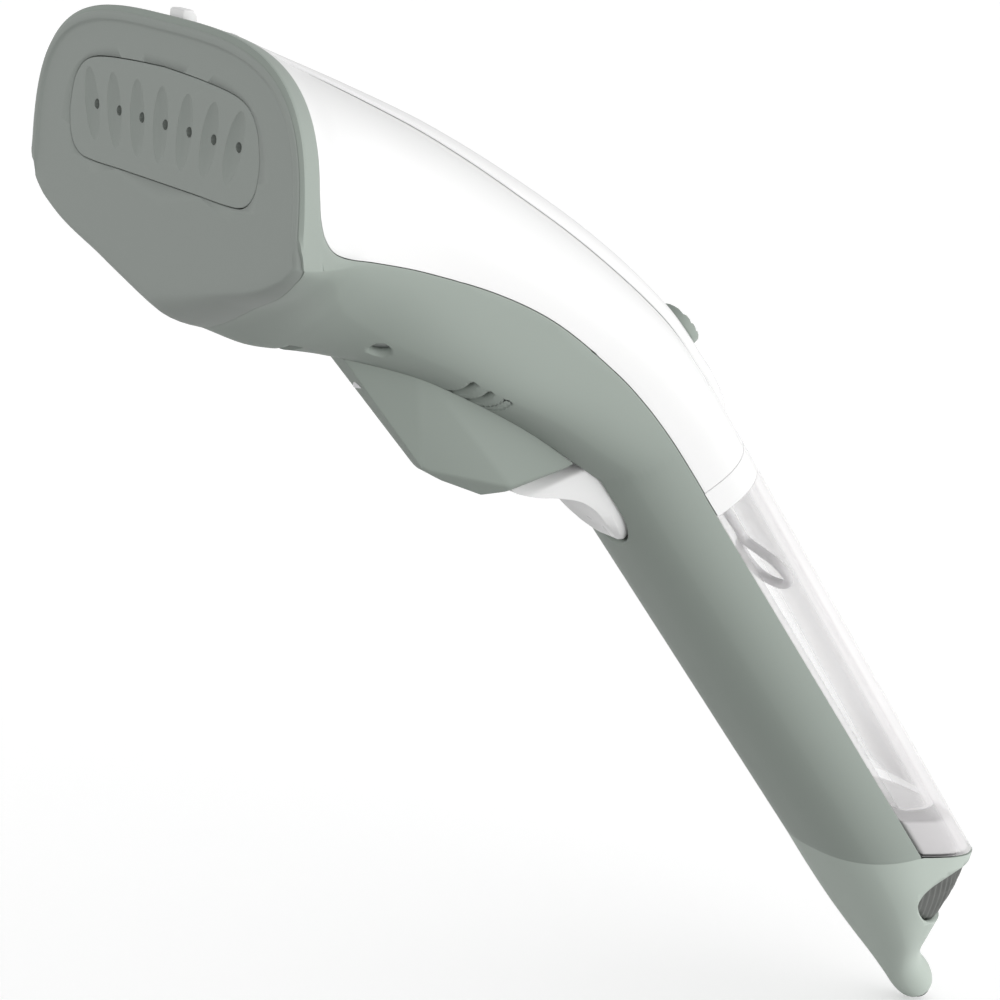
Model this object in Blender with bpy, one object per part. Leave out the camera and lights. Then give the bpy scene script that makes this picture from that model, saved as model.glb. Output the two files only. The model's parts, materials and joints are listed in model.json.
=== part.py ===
"""Handheld garment steamer, modelled as the separate pieces it comes apart into.

Metres, +Z up. The steam face stands upright in the plane Y = 0 and steam leaves along -Y. The origin is on
the flat of the face plate, 20 mm below the row of steam holes. The body runs back and down into the handle.

Helper functions take millimetres and turn them into metres where a mesh is made.
"""

import math

import bmesh
import bpy
from mathutils import Matrix, Vector

MM = 0.001
GAP = 0.3                       # clearance left between neighbouring pieces
WALL = 2.2                      # thickness of the moulded housings
AROUND = 32                     # points round one section of the body

STEAM_ROW_Z = 20.0              # height of the steam holes above the origin
PLATE_THICK = 3.0
BAND_DEPTH = 6.4                # how far the lower housing wraps the head behind the face

# The handle is a straight run: its axis falls this far below the horizontal, going back.
HANDLE_FALL = math.radians(50.27)
HANDLE_HALF_WIDTH = 21.0
HANDLE_POWER = 2.5
# The handle tapers: (down, depth of its front, depth of its rear) near its top and near its foot.
HANDLE_TOP = (124.0, 17.7, -16.7)
HANDLE_FOOT = (290.0, 16.6, -14.9)
HANDLE_ZERO = Vector((0.0, 39.07, 52.46))
SIDE_SEAM = 3.1                 # depth coordinate of the seam between the tank and the lower housing

# Planes across the handle: how far down the handle they lie at the side seam, and their slant.
COLLAR_TOP = 136.7
COLLAR_FOOT = 143.8
COLLAR_SLANT = 0.155
TAIL_SEAM = 258.4
TAIL_SLANT = 1.1                # behind the side seam
TAIL_FRONT_SLANT = 0.6          # in front of it
TANK_BASE = 15.0                # height of the tank's thick foot

TRIGGER_PIVOT = (106.0, 25.0)   # down the handle, depth
FILLER = (0.0, -8.0)            # the filler bore in the tank's cap: side, depth
OUTLET = (10.5, -5.0)           # the outlet bore beside it
BOILER_OUTLET_Z = 15.0
BOILER = {"half_width": 23.0, "front": 11.3, "back": 27.0, "low": -7.0, "high": 22.5, "corner": 5.0}
COVER_THICK = 1.8
ELEMENT_X = 13.0                # half the width of the heating element's U
ELEMENT_END_Z = 7.6
ELEMENT_RADIUS = 3.0
HOLES = 7                       # steam holes in the insert
HOLE_PITCH = 9.0
CATCH_DEPTHS = (2.4, 5.6)       # front and back of the accessory catch behind the face
NECK_SCREW = (14.5, 43.5, -20.4)
VENT_Y = 64.2                   # the first vent, and the step to the next
VENT_PITCH = 4.3
SLIDER = {"half_length": 5.5, "travel": 4.0, "foot_half_length": 2.6, "foot_half_width": 2.4, "height": 3.3}
SLIDER_DOWN = 143.6             # along the ridge from the face to the middle of the slider at rest
SPINE_HALF_WIDTH = 10.6
TRIGGER_SLOT_HALF = 8.9
TRIGGER_SLOT_FOOT = 145.2
TRIGGER_SLOT_ROUND = 12.2       # length of its elliptical end
# The guard's rear edge lies this far down the handle where it meets the body, and leans forwards below that.
GUARD_REAR = (117.0, 19.0)
GUARD_LEAN = 0.32
GUARD_SCREW_Y = 49.0
PUMP_ENDS = (Vector((0.0, 52.0, -2.0)), Vector((0.0, 78.0, -14.0)))
PUMP_RADIUS = 8.0
BUTTON_MIDDLE = (277.0, 0.0)    # down the handle, depth
GLAND_DEPTH = 12.3              # depth coordinate of the lead's way out through the tail
REACH = 60.0                    # well outside the body, for solids that only cut others


def handle(down, depth, side=0.0):
    """A point given by how far down the handle it lies and how far in front of the handle's centre."""
    along = Vector((0.0, math.cos(HANDLE_FALL), -math.sin(HANDLE_FALL)))
    front = Vector((0.0, -math.sin(HANDLE_FALL), -math.cos(HANDLE_FALL)))
    return HANDLE_ZERO + down * along + depth * front + Vector((side, 0.0, 0.0))


# Ribs of the body from the face back: ridge (y, z), belly (y, z), where the rib is widest as a share of its
# height from the ridge, half width, and how square its upper and lower halves are.
HEAD_RIBS = (
    ((0.0, 40.6), (0.0, -17.0), 0.66, 52.4, 3.4, 1.28),
    ((8.0, 38.3), (6.0, -18.8), 0.65, 47.4, 3.2, 1.3),
    ((20.0, 33.6), (14.0, -21.0), 0.62, 39.0, 2.8, 1.35),
    ((38.0, 26.8), (24.0, -23.0), 0.57, 29.5, 2.6, 1.5),
    ((56.0, 19.4), (38.0, -25.0), 0.53, 24.6, 2.5, 1.9),
    ((76.0, 9.2), (54.0, -28.6), 0.52, 22.6, 2.5, 3.0),
    ((97.0, -3.2), (70.0, -34.7), 0.50, 21.8, 2.5, 4.0),
    ((118.0, -18.4), (86.0, -42.7), 0.48, 21.3, 2.5, 3.2),
)
# The rounded shoulder round the face: distance behind the face and how far it is drawn in.
FACE_SHOULDER = ((0.3, 0.8), (0.8, 0.25), (1.6, 0.0))
# Ribs of the tail from its seam to its tip: (down, depth) in front, (down, depth) behind, half width.
TAIL_RIBS = (
    ((263.0, 16.9), (282.2, -8.0), 18.6),
    ((275.0, 17.0), (285.6, -0.6), 15.0),
    ((285.0, 17.1), (289.8, 4.4), 11.2),
    ((293.0, 17.3), (294.2, 6.9), 7.4),
    ((299.0, 17.5), (299.0, 7.6), 5.4),
    ((304.5, 17.4), (304.5, 7.3), 4.9),
    ((308.4, 16.4), (308.4, 8.2), 4.1),
    ((310.6, 14.4), (310.6, 10.4), 2.2),
)
# Ribs of the trigger: how far down the handle, the depth and half width of its front, the half width of its
# root, the depth of its back, and how much the rib leans along the guard's edge.
TRIGGER_RIBS = (
    (100.5, 27.0, 2.6, 4.6, 21.0, 0.0),
    (108.0, 29.6, 2.6, 4.9, 17.0, 0.0),
    (112.0, 30.6, 2.6, 5.2, 14.8, 0.1),
    (115.0, 30.6, 2.2, 5.2, 14.0, 0.3),
    (118.0, 33.0, 3.8, 5.2, 13.9, 0.32),
    (119.2, 31.0, 5.6, 8.2, 13.3, 0.22),
    (121.6, 26.6, 7.0, 8.3, 12.8, 0.1),
    (124.8, 23.2, 7.6, 8.3, 12.3, 0.0),
    (129.5, 21.2, 7.7, 8.3, 11.9, 0.0),
    (134.5, 20.4, 7.0, 8.1, 11.7, 0.0),
    (139.0, 19.6, 5.4, 6.8, 11.8, 0.0),
    (142.4, 18.6, 3.2, 4.6, 12.2, 0.0),
    (144.0, 17.6, 1.4, 2.4, 12.8, 0.0),
)
# The seam between the white and the sage housing, seen from the side, from the band back to the handle.
SEAM = (
    (6.4, 15.0), (7.3, 10.4), (10.0, 6.4), (15.0, 3.0), (22.5, 0.5), (32.0, -1.5), (46.0, -4.5),
    (65.7, -10.0), (81.0, -16.6), (97.4, -27.6), (114.9, -42.2),
)

PALETTE = {
    "sage": ((0.40, 0.44, 0.40), 0.45, 0.0),
    "white": ((0.86, 0.86, 0.85), 0.3, 0.0),
    "clear": ((0.88, 0.89, 0.90), 0.05, 0.0),
    "grey_rubber": ((0.45, 0.45, 0.45), 0.7, 0.0),
    "dark_grey": ((0.11, 0.115, 0.11), 0.55, 0.0),
    "aluminium": ((0.72, 0.73, 0.74), 0.4, 1.0),
    "steel": ((0.6, 0.6, 0.6), 0.3, 1.0),
    "green_board": ((0.05, 0.22, 0.10), 0.5, 0.0),
    "silicone": ((0.75, 0.3, 0.22), 0.6, 0.0),
}


def clear_scene():
    for thing in list(bpy.data.objects):
        bpy.data.objects.remove(thing, do_unlink=True)


def material(name):
    found = bpy.data.materials.get(name)
    if found:
        return found
    colour, roughness, metallic = PALETTE[name]
    made = bpy.data.materials.new(name)
    made.use_nodes = True
    shader = made.node_tree.nodes["Principled BSDF"]
    shader.inputs["Base Color"].default_value = (*colour, 1.0)
    shader.inputs["Roughness"].default_value = roughness
    shader.inputs["Metallic"].default_value = metallic
    if name == "clear":
        shader.inputs["Transmission Weight"].default_value = 0.9
        shader.inputs["IOR"].default_value = 1.49
    return made


def finish_mesh(name, bm, look):
    """Turns a bmesh in millimetres into an object, its faces pointing out."""
    bmesh.ops.scale(bm, vec=(MM, MM, MM), verts=bm.verts)
    bmesh.ops.recalc_face_normals(bm, faces=bm.faces)
    mesh = bpy.data.meshes.new(name)
    bm.to_mesh(mesh)
    bm.free()
    mesh.shade_smooth()
    mesh.set_sharp_from_angle(angle=math.radians(35))
    thing = bpy.data.objects.new(name, mesh)
    mesh.materials.append(material(look))
    bpy.context.scene.collection.objects.link(thing)
    return thing


def loft(name, rings, look):
    """One closed skin through rings of equal length, with a flat cap at each end."""
    bm = bmesh.new()
    rows = [[bm.verts.new(point) for point in ring] for ring in rings]
    for first, second in zip(rows, rows[1:]):
        count = len(first)
        for i in range(count):
            j = (i + 1) % count
            bm.faces.new((first[i], first[j], second[j], second[i]))
    bm.faces.new(rows[0][::-1])
    bm.faces.new(rows[-1])
    return finish_mesh(name, bm, look)


def side_prism(name, outline, half_width, look, centre=0.0):
    """A side view outline of (y, z) points, extruded along X."""
    rings = [[Vector((centre + x, y, z)) for y, z in outline] for x in (-half_width, half_width)]
    return loft(name, rings, look)


def front_prism(name, outline, y_front, y_back, look):
    """A front view outline of (x, z) points, extruded along Y."""
    rings = [[Vector((x, y, z)) for x, z in outline] for y in (y_front, y_back)]
    return loft(name, rings, look)


def handle_block(name, downs, depths, sides, look):
    """A box lined up with the handle, between two values of each handle coordinate."""
    rings = []
    for down in downs:
        corners = ((sides[0], depths[0]), (sides[1], depths[0]), (sides[1], depths[1]), (sides[0], depths[1]))
        rings.append([handle(down, depth, side) for side, depth in corners])
    return loft(name, rings, look)


def rod(name, start, end, radius, look, sides=16, end_radius=None):
    """A straight round bar, or a cone when end_radius differs."""
    start, end = Vector(start), Vector(end)
    axis = (end - start).normalized()
    across = axis.orthogonal().normalized()
    other = axis.cross(across)
    rings = []
    for centre, size in ((start, radius), (end, radius if end_radius is None else end_radius)):
        turns = (2 * math.pi * i / sides for i in range(sides))
        rings.append([centre + size * (math.cos(t) * across + math.sin(t) * other) for t in turns])
    return loft(name, rings, look)


def smooth_path(points, steps=6):
    """Points on a smooth curve through the given ones, evenly split between each pair."""
    rows = [tuple(point) for point in points]
    return [Vector(row) for row in smooth_rows(rows, steps)]


def hose(name, points, radius, look, steps=5):
    """A solid round hose or lead along a smooth curve through the points."""
    curve = bpy.data.curves.new(name, "CURVE")
    curve.dimensions = "3D"
    curve.bevel_depth = radius * MM
    curve.bevel_resolution = 2
    curve.use_fill_caps = True
    path = smooth_path(points, steps)
    line = curve.splines.new("POLY")
    line.points.add(len(path) - 1)
    for spot, point in zip(line.points, path):
        spot.co = (*(MM * point), 1.0)
    curve.materials.append(material(look))
    thing = bpy.data.objects.new(name, curve)
    bpy.context.scene.collection.objects.link(thing)
    return thing


def combine(thing, tool, operation):
    """Applies a Boolean and removes the tool."""
    step = thing.modifiers.new(operation, "BOOLEAN")
    step.operation = operation
    step.solver = "EXACT"
    step.object = tool
    bpy.context.view_layer.update()
    graph = bpy.context.evaluated_depsgraph_get()
    result = bpy.data.meshes.new_from_object(thing.evaluated_get(graph))
    thing.modifiers.remove(step)
    old = thing.data
    thing.data = result
    bpy.data.meshes.remove(old)
    bpy.data.objects.remove(tool, do_unlink=True)
    return thing


def cut(thing, tool):
    return combine(thing, tool, "DIFFERENCE")


def keep(thing, tool):
    return combine(thing, tool, "INTERSECT")


def join(thing, tool):
    return combine(thing, tool, "UNION")


def smooth_rows(rows, steps):
    """Cubic curve through rows of numbers, spaced by the distance between their first three values."""
    places = [0.0]
    for first, second in zip(rows, rows[1:]):
        places.append(places[-1] + math.dist(first[:3], second[:3]))
    last = len(rows) - 1
    slopes = []
    for i in range(len(rows)):
        low, high = max(i - 1, 0), min(i + 1, last)
        span = places[high] - places[low]
        slopes.append([(b - a) / span for a, b in zip(rows[low], rows[high])])
    found = []
    for i in range(last):
        span = places[i + 1] - places[i]
        for k in range(steps):
            u = k / steps
            weights = (2 * u**3 - 3 * u**2 + 1, u**3 - 2 * u**2 + u, -2 * u**3 + 3 * u**2, u**3 - u**2)
            row = zip(rows[i], slopes[i], rows[i + 1], slopes[i + 1])
            found.append(tuple(
                weights[0] * a + weights[1] * span * m + weights[2] * b + weights[3] * span * n
                for a, m, b, n in row
            ))
    found.append(tuple(rows[-1]))
    return found


def section(ridge, belly, share, half_width, upper_power, lower_power, grow=0.0):
    """One closed section of the body in the plane of a rib, pushed outwards by grow."""
    ridge, belly = Vector(ridge), Vector(belly)
    up = (ridge - belly).normalized()
    middle = ridge.lerp(belly, share)
    points = []
    for i in range(AROUND):
        turn = 2 * math.pi * (i + 0.5) / AROUND
        upper = math.cos(turn) > 0
        power = 2 / (upper_power if upper else lower_power)
        reach = ((ridge if upper else belly) - middle).length + grow
        x = math.copysign(abs(math.sin(turn)) ** power, math.sin(turn)) * (half_width + grow)
        h = math.copysign(abs(math.cos(turn)) ** power, math.cos(turn)) * reach
        points.append(middle + h * up + Vector((x, 0.0, 0.0)))
    return points


def plane_down(at_seam, slant, depth):
    """How far down the handle a slanted plane lies at a given depth."""
    return at_seam + slant * (SIDE_SEAM - depth)


def handle_section(at_seam, slant, grow=0.0, front_slant=None):
    """The handle's section in a slanted cut across it: each of its straight tapering lines meets the cut."""
    top, top_front, top_rear = HANDLE_TOP
    foot, foot_front, foot_rear = HANDLE_FOOT
    points = []
    for i in range(AROUND):
        turn = 2 * math.pi * (i + 0.5) / AROUND
        rear = math.cos(turn) > 0
        share = abs(math.cos(turn)) ** (2 / HANDLE_POWER)
        across = abs(math.sin(turn)) ** (2 / HANDLE_POWER)
        x = math.copysign(across, math.sin(turn)) * (HANDLE_HALF_WIDTH + grow)
        start, end = (top_rear - grow, foot_rear - grow) if rear else (top_front + grow, foot_front + grow)
        taper = share * (end - start) / (foot - top)
        level = share * start - taper * top
        lean = slant if front_slant is None or level < SIDE_SEAM else front_slant
        down = (at_seam + lean * (SIDE_SEAM - level)) / (1 + lean * taper)
        points.append(handle(down, level + taper * down, x))
    return points


def head_rows(steps=2):
    rows = []
    for ridge, belly, share, half_width, upper, lower in HEAD_RIBS:
        rows.append((*ridge, *belly, share, half_width, upper, lower))
    joint, front, rear = HANDLE_TOP
    ridge, belly = handle(joint, rear), handle(joint, front)
    share = rear / (rear - front)
    rows.append((ridge.y, ridge.z, belly.y, belly.z, share, HANDLE_HALF_WIDTH, HANDLE_POWER, HANDLE_POWER))
    return smooth_rows(rows, steps)


def face_section(grow=0.0):
    """The outline of the head in the plane of the face."""
    (ridge_y, ridge_z), (belly_y, belly_z), share, half_width, upper, lower = HEAD_RIBS[0]
    return section((0.0, ridge_y, ridge_z), (0.0, belly_y, belly_z), share, half_width, upper, lower, grow)


def body_sections(grow=0.0):
    """Sections of the whole body from the face to the tail seam."""
    rings = []
    for y, inset in FACE_SHOULDER:
        rings.append([point + Vector((0.0, y, 0.0)) for point in face_section(grow - inset)])
    for ridge_y, ridge_z, belly_y, belly_z, share, half_width, upper, lower in head_rows()[1:]:
        ridge, belly = (0.0, ridge_y, ridge_z), (0.0, belly_y, belly_z)
        rings.append(section(ridge, belly, share, half_width, upper, lower, grow))
    rings.append(handle_section(COLLAR_TOP, COLLAR_SLANT, grow))
    rings.append(handle_section(TAIL_SEAM, TAIL_SLANT, grow, TAIL_FRONT_SLANT))
    return rings


def body_solid(name, grow=0.0, front_reach=0.0, tail_reach=0.0):
    """The body's outer shape as one solid, stretched past its ends where it serves as a tool."""
    rings = body_sections(grow)
    if front_reach:
        rings.insert(0, [point - Vector((0.0, front_reach, 0.0)) for point in rings[0]])
    if tail_reach:
        along = handle(1.0, 0.0) - handle(0.0, 0.0)
        rings.append([point + tail_reach * along for point in rings[-1]])
    return loft(name, rings, "sage")


def body_shell(name, look):
    """The hollow body, open at the face and at the tail."""
    shell = body_solid(name)
    shell.data.materials[0] = material(look)
    return cut(shell, body_solid("hollow", -WALL, front_reach=2.0, tail_reach=2.0))


def seam_line():
    """The housings' side seam as (y, z) points, from above the head down to the handle's side seam."""
    curve = [(y, z) for y, z, _ in smooth_rows([(y, z, 0.0) for y, z in SEAM], 3)]
    straight = [handle(down, SIDE_SEAM) for down in (124.0, COLLAR_TOP)]
    return [(BAND_DEPTH, 80.0), (BAND_DEPTH, 30.0)] + curve + [(p.y, p.z) for p in straight]


def point_2d(down, depth):
    spot = handle(down, depth)
    return (spot.y, spot.z)


def upper_region(name):
    """Everything above the side seam and before the collar."""
    rear = point_2d(plane_down(COLLAR_TOP, COLLAR_SLANT, -REACH), -REACH)
    return side_prism(name, seam_line() + [rear, (160.0, 120.0)], REACH, "white")


def lower_region(name):
    """Everything below the side seam, between the face plate and the tail seam."""
    shifted = [(y - GAP * 0.75, z - GAP * 0.75) for y, z in seam_line()]
    down_handle = [point_2d(down, SIDE_SEAM + GAP) for down in (COLLAR_TOP + 2.0, TAIL_SEAM - 2.0)]
    foot = [SIDE_SEAM + GAP, REACH]
    tail = [point_2d(plane_down(TAIL_SEAM - GAP, TAIL_FRONT_SLANT, depth), depth) for depth in foot]
    return side_prism(name, shifted + down_handle + tail + [(-5.0, -150.0), (-5.0, 80.0)], REACH, "sage")


# ---------------------------------------------------------------- head

def insert_outline(grow=0.0):
    """The steam insert seen from the front: arched top, straight foot, round corners."""
    corners = (
        (0.0, 10.7), (14.0, 10.2), (26.0, 9.2), (31.2, 7.6), (34.4, 4.4), (35.8, 0.0), (36.0, -3.0),
        (35.2, -6.6), (32.8, -9.4), (28.6, -10.6),
    )
    wide, tall = 1 + grow / 36.0, 1 + grow / 10.65
    right = [(x * wide, STEAM_ROW_Z + z * tall) for x, z in corners]
    return right + [(-x, z) for x, z in reversed(right[1:])]


def face_plate():
    """The sage sole plate with its rolled edge and the pocket for the steam insert."""
    rings = []
    for depth, inset in ((0.0, 1.2), (0.3, 0.9), (0.8, 0.45), (1.4, 0.6), (PLATE_THICK, 2.0)):
        outline = face_section(-WALL - GAP - inset)
        rings.append([point + Vector((0.0, depth, 0.0)) for point in outline])
    plate = loft("face_plate", rings, "sage")
    front, _ = CATCH_DEPTHS
    cut(plate, front_prism("catch_notch", rounded_rectangle(2.9, 33.0, 60.0, 0.5), front - GAP, 10.0, "sage"))
    return cut(plate, front_prism("pocket", insert_outline(GAP), -1.0, PLATE_THICK + 1.0, "sage"))


def steam_insert():
    """The flush insert with its fan of lens-shaped dimples and a steam hole in each."""
    insert = front_prism("steam_insert", insert_outline(), 0.0, 3.6, "sage")
    for i in range(HOLES):
        x = HOLE_PITCH * (i - (HOLES - 1) / 2)
        lean = math.atan2(x * 0.17, 13.0)
        lens = bmesh.new()
        bmesh.ops.create_uvsphere(lens, u_segments=10, v_segments=6, radius=1.0)
        shape = Matrix.Translation((x, -0.9, STEAM_ROW_Z)) @ Matrix.Rotation(lean, 4, "Y")
        shape = shape @ Matrix.Diagonal((3.5, 1.5, 8.4, 1.0))
        bmesh.ops.transform(lens, matrix=shape, verts=lens.verts)
        cut(insert, finish_mesh("dimple", lens, "sage"))
        cut(insert, rod("hole", (x, -1.0, STEAM_ROW_Z), (x, 5.0, STEAM_ROW_Z), 1.0, "sage", sides=10))
    return insert


def steam_gasket():
    """A silicone frame that seals the insert to the steam manifold."""
    gasket = front_prism("steam_gasket", insert_outline(-1.5), 3.9, 5.4, "silicone")
    return cut(gasket, front_prism("opening", insert_outline(-4.0), 3.0, 7.0, "silicone"))


def steam_manifold():
    """The dish that spreads steam behind the insert, with a port for the boiler's outlet at the back."""
    dish = front_prism("steam_manifold", insert_outline(-1.8), 5.7, 11.0, "aluminium")
    cut(dish, front_prism("chamber", insert_outline(-4.2), 5.0, 8.5, "aluminium"))
    return cut(dish, rod("port", (0.0, 8.0, BOILER_OUTLET_Z), (0.0, 12.0, BOILER_OUTLET_Z), 3.0, "aluminium"))


def rounded_rectangle(half_width, low, high, radius, steps=3):
    points = []
    for cx, cz, start in (
        (half_width - radius, high - radius, 0), (-half_width + radius, high - radius, 90),
        (-half_width + radius, low + radius, 180), (half_width - radius, low + radius, 270),
    ):
        for i in range(steps + 1):
            turn = math.radians(start + 90 * i / steps)
            points.append((cx + radius * math.cos(turn), cz + radius * math.sin(turn)))
    return points


def boiler_screw_spots():
    inset = 4.0
    spots = []
    for x in (-BOILER["half_width"] + inset, BOILER["half_width"] - inset):
        for z in (BOILER["low"] + inset, BOILER["high"] - inset):
            spots.append((x, z))
    return spots


def boiler():
    """The die-cast steam chamber: outlet bore in front, inlet bore behind, a groove for the element."""
    outline = rounded_rectangle(BOILER["half_width"], BOILER["low"], BOILER["high"], BOILER["corner"])
    body = front_prism("boiler_body", outline, BOILER["front"], BOILER["back"], "aluminium")
    cut(body, rod("outlet", (0.0, 5.0, BOILER_OUTLET_Z), (0.0, 18.0, BOILER_OUTLET_Z), 3.0, "aluminium"))
    cut(body, rod("inlet", (0.0, 16.0, BOILER_OUTLET_Z), (0.0, 40.0, BOILER_OUTLET_Z), 2.2, "aluminium"))
    groove = [(-17.0, -2.6), (17.0, -2.6), (17.0, 11.0), (-17.0, 11.0)]
    cut(body, front_prism("groove", groove, BOILER["back"] - 7.4, BOILER["back"] + 5.0, "aluminium"))
    for x, z in boiler_screw_spots():
        cut(body, rod("screw_hole", (x, 18.0, z), (x, 40.0, z), 1.6, "aluminium", sides=12))


def heating_element():
    """A U of sheathed heating tube lying in the boiler's groove, its two ends turned back."""
    y = BOILER["back"] - 3.9
    half = [(ELEMENT_X, y + 9.5, ELEMENT_END_Z), (ELEMENT_X, y + 3.0, ELEMENT_END_Z), (ELEMENT_X, y, 4.4),
            (9.5, y, 1.2)]
    points = [(-x, depth, z) for x, depth, z in half] + [(0.0, y, 0.6)] + half[::-1]
    hose("heating_element", points, ELEMENT_RADIUS, "steel", steps=3)


def boiler_cover():
    """The plate that closes the groove, with holes for the element's ends, the inlet and the screws."""
    outline = rounded_rectangle(BOILER["half_width"], BOILER["low"], BOILER["high"], BOILER["corner"])
    front = BOILER["back"] + GAP
    back = front + COVER_THICK
    cover = front_prism("boiler_cover", outline, front, back, "steel")
    for x in (-ELEMENT_X, ELEMENT_X):
        start, end = (x, front - 3, ELEMENT_END_Z), (x, back + 3, ELEMENT_END_Z)
        cut(cover, rod("end_hole", start, end, ELEMENT_RADIUS + 2 * GAP, "steel", sides=14))
    cut(cover, rod("inlet", (0.0, front - 4, BOILER_OUTLET_Z), (0.0, back + 4, BOILER_OUTLET_Z), 2.6, "steel"))
    for x, z in boiler_screw_spots():
        cut(cover, rod("screw_hole", (x, front - 3, z), (x, back + 3, z), 1.9, "steel", sides=12))


def boiler_screws():
    back = BOILER["back"] + GAP + COVER_THICK + GAP
    for number, (x, z) in enumerate(boiler_screw_spots(), start=1):
        screw = rod(f"boiler_screw_{number}", (x, back - 8.0, z), (x, back + 0.8, z), 1.2, "steel", sides=8)
        join(screw, rod("head", (x, back, z), (x, back + 1.6, z), 2.6, "steel", sides=10, end_radius=1.9))


def thermal_controls():
    """The snap thermostat and the one-shot thermal fuse, both clipped to the boiler's cover."""
    back = BOILER["back"] + GAP + COVER_THICK + GAP
    disc = rod("thermostat", (0.0, back, 4.0), (0.0, back + 5.0, 4.0), 6.0, "dark_grey", end_radius=5.4)
    for x in (-3.0, 3.0):
        join(disc, front_prism("tag", [(x - 1.0, 2.6), (x + 1.0, 2.6), (x + 1.0, 5.4), (x - 1.0, 5.4)],
                               back + 4.0, back + 9.0, "steel"))
    rod("thermal_fuse", (-6.0, back + 2.2, -4.6), (6.0, back + 2.2, -4.6), 1.9, "steel", sides=12)


# ---------------------------------------------------------------- housings

def rounded_slot(cx, cz, half_length, half_width, steps=4):
    points = []
    for centre, start in ((cx + half_length - half_width, -90), (cx - half_length + half_width, 90)):
        for i in range(steps + 1):
            turn = math.radians(start + 180 * i / steps)
            points.append((centre + half_width * math.cos(turn), cz + half_width * math.sin(turn)))
    return points


def ridge_rows():
    """The ridge from the face to the collar: (ridge, up, middle, half width, reach, power) of each rib."""
    rows = []
    for ridge_y, ridge_z, belly_y, belly_z, share, half_width, upper, _ in head_rows(3):
        ridge = Vector((0.0, ridge_y, ridge_z))
        belly = Vector((0.0, belly_y, belly_z))
        middle = ridge.lerp(belly, share)
        rows.append((ridge, (ridge - belly).normalized(), middle, half_width, (ridge - middle).length, upper))
    _, up, *_ = rows[-1]
    top, _, top_rear = HANDLE_TOP
    foot, _, foot_rear = HANDLE_FOOT
    for down in (129.0, 133.5, 136.8, 138.6):
        level = top_rear + (foot_rear - top_rear) * (down - top) / (foot - top)
        rows.append((handle(down, level), up, handle(down, 0.0), HANDLE_HALF_WIDTH, -level, HANDLE_POWER))
    return rows


def spine_width(share):
    """Half width of the spine cover: narrow in front, then wide, with a round rear end."""
    front = 0.48 + 0.52 * min(1.0, share * 2.2)
    rear = math.sqrt(max(0.0, 1 - max(0.0, (share - 0.90) / 0.104) ** 2))
    return SPINE_HALF_WIDTH * front * max(rear, 0.3)


def spine_cover():
    """The raised white strip along the ridge, flush at the head and proud at its round rear end."""
    rows = [row for row in ridge_rows() if row[0].y > 13.0]
    length = sum((b[0] - a[0]).length for a, b in zip(rows, rows[1:]))
    rings = []
    travelled = 0.0
    for i, (ridge, up, middle, half_width, reach, power) in enumerate(rows):
        travelled += (ridge - rows[max(i - 1, 0)][0]).length
        share = travelled / length
        height = (0.8 + 2.0 * min(1.0, share * 1.5)) * (1.0 if share < 0.97 else 0.6)
        wide = spine_width(share)
        low, high = [], []
        for k in range(9):
            x = wide * (-1 + k / 4)
            body = reach * (1 - (abs(x) / half_width) ** power) ** (1 / power)
            edge = (abs(x) / wide) ** 6
            low.append(middle + (body + GAP) * up + Vector((x, 0, 0)))
            high.append(middle + (body + GAP + height * (1 - edge) + 0.45 * edge) * up + Vector((x, 0, 0)))
        rings.append(low + high[::-1])
    return cut(loft("spine_cover", rings, "white"), slider_slot("slot"))


def ridge_at(down):
    """The ridge's point, direction towards the tail and outward direction nearest a place on the spine."""
    rows = ridge_rows()
    track = [row[0] for row in rows]
    places = [0.0]
    for first, second in zip(track, track[1:]):
        places.append(places[-1] + (second - first).length)
    for i in range(len(track) - 1):
        if places[i + 1] >= down:
            share = (down - places[i]) / (places[i + 1] - places[i])
            along = (track[i + 1] - track[i]).normalized()
            return track[i].lerp(track[i + 1], share), along, Vector((1, 0, 0)).cross(along).normalized()
    raise ValueError("past the end of the ridge")


def slider_frame():
    return ridge_at(SLIDER_DOWN)


def slider_block(name, half_length, half_width, low, high, shift, look):
    point, along, out = slider_frame()
    rings = []
    for height in (low, high):
        centre = point + height * out + shift * along
        ring = []
        for a, x in rounded_slot(0.0, 0.0, half_length, half_width):
            ring.append(centre + a * along + Vector((x, 0.0, 0.0)))
        rings.append(ring)
    return loft(name, rings, look)


def slider_slot(name):
    half = SLIDER["foot_half_length"] + SLIDER["travel"] / 2 + 0.6
    return slider_block(name, half, SLIDER["foot_half_width"] + 0.5, -8.0, 8.0, SLIDER["travel"] / 2, "white")


def upper_housing():
    shell = keep(body_shell("upper_housing", "white"), upper_region("region"))
    return cut(shell, slider_slot("slot"))


def accessory_catch():
    """The small tab on top of the head that a clip-on brush or comb hooks over."""
    front, back = CATCH_DEPTHS
    outline = [
        (front, 34.0), (back + 2.0, 34.0), (back + 2.0, 35.6), (back, 35.6), (back, 41.0), (back - 0.6, 41.6),
        (front + 0.6, 41.6), (front, 41.0),
    ]
    return side_prism("accessory_catch", outline, 2.5, "white")


def neck_screw_place(side):
    """The middle of a neck screw's head, and the direction it faces."""
    x, y, z = NECK_SCREW
    return Vector((side * x, y, z)), Vector((side * 0.35, -0.25, -1.0)).normalized()


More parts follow.
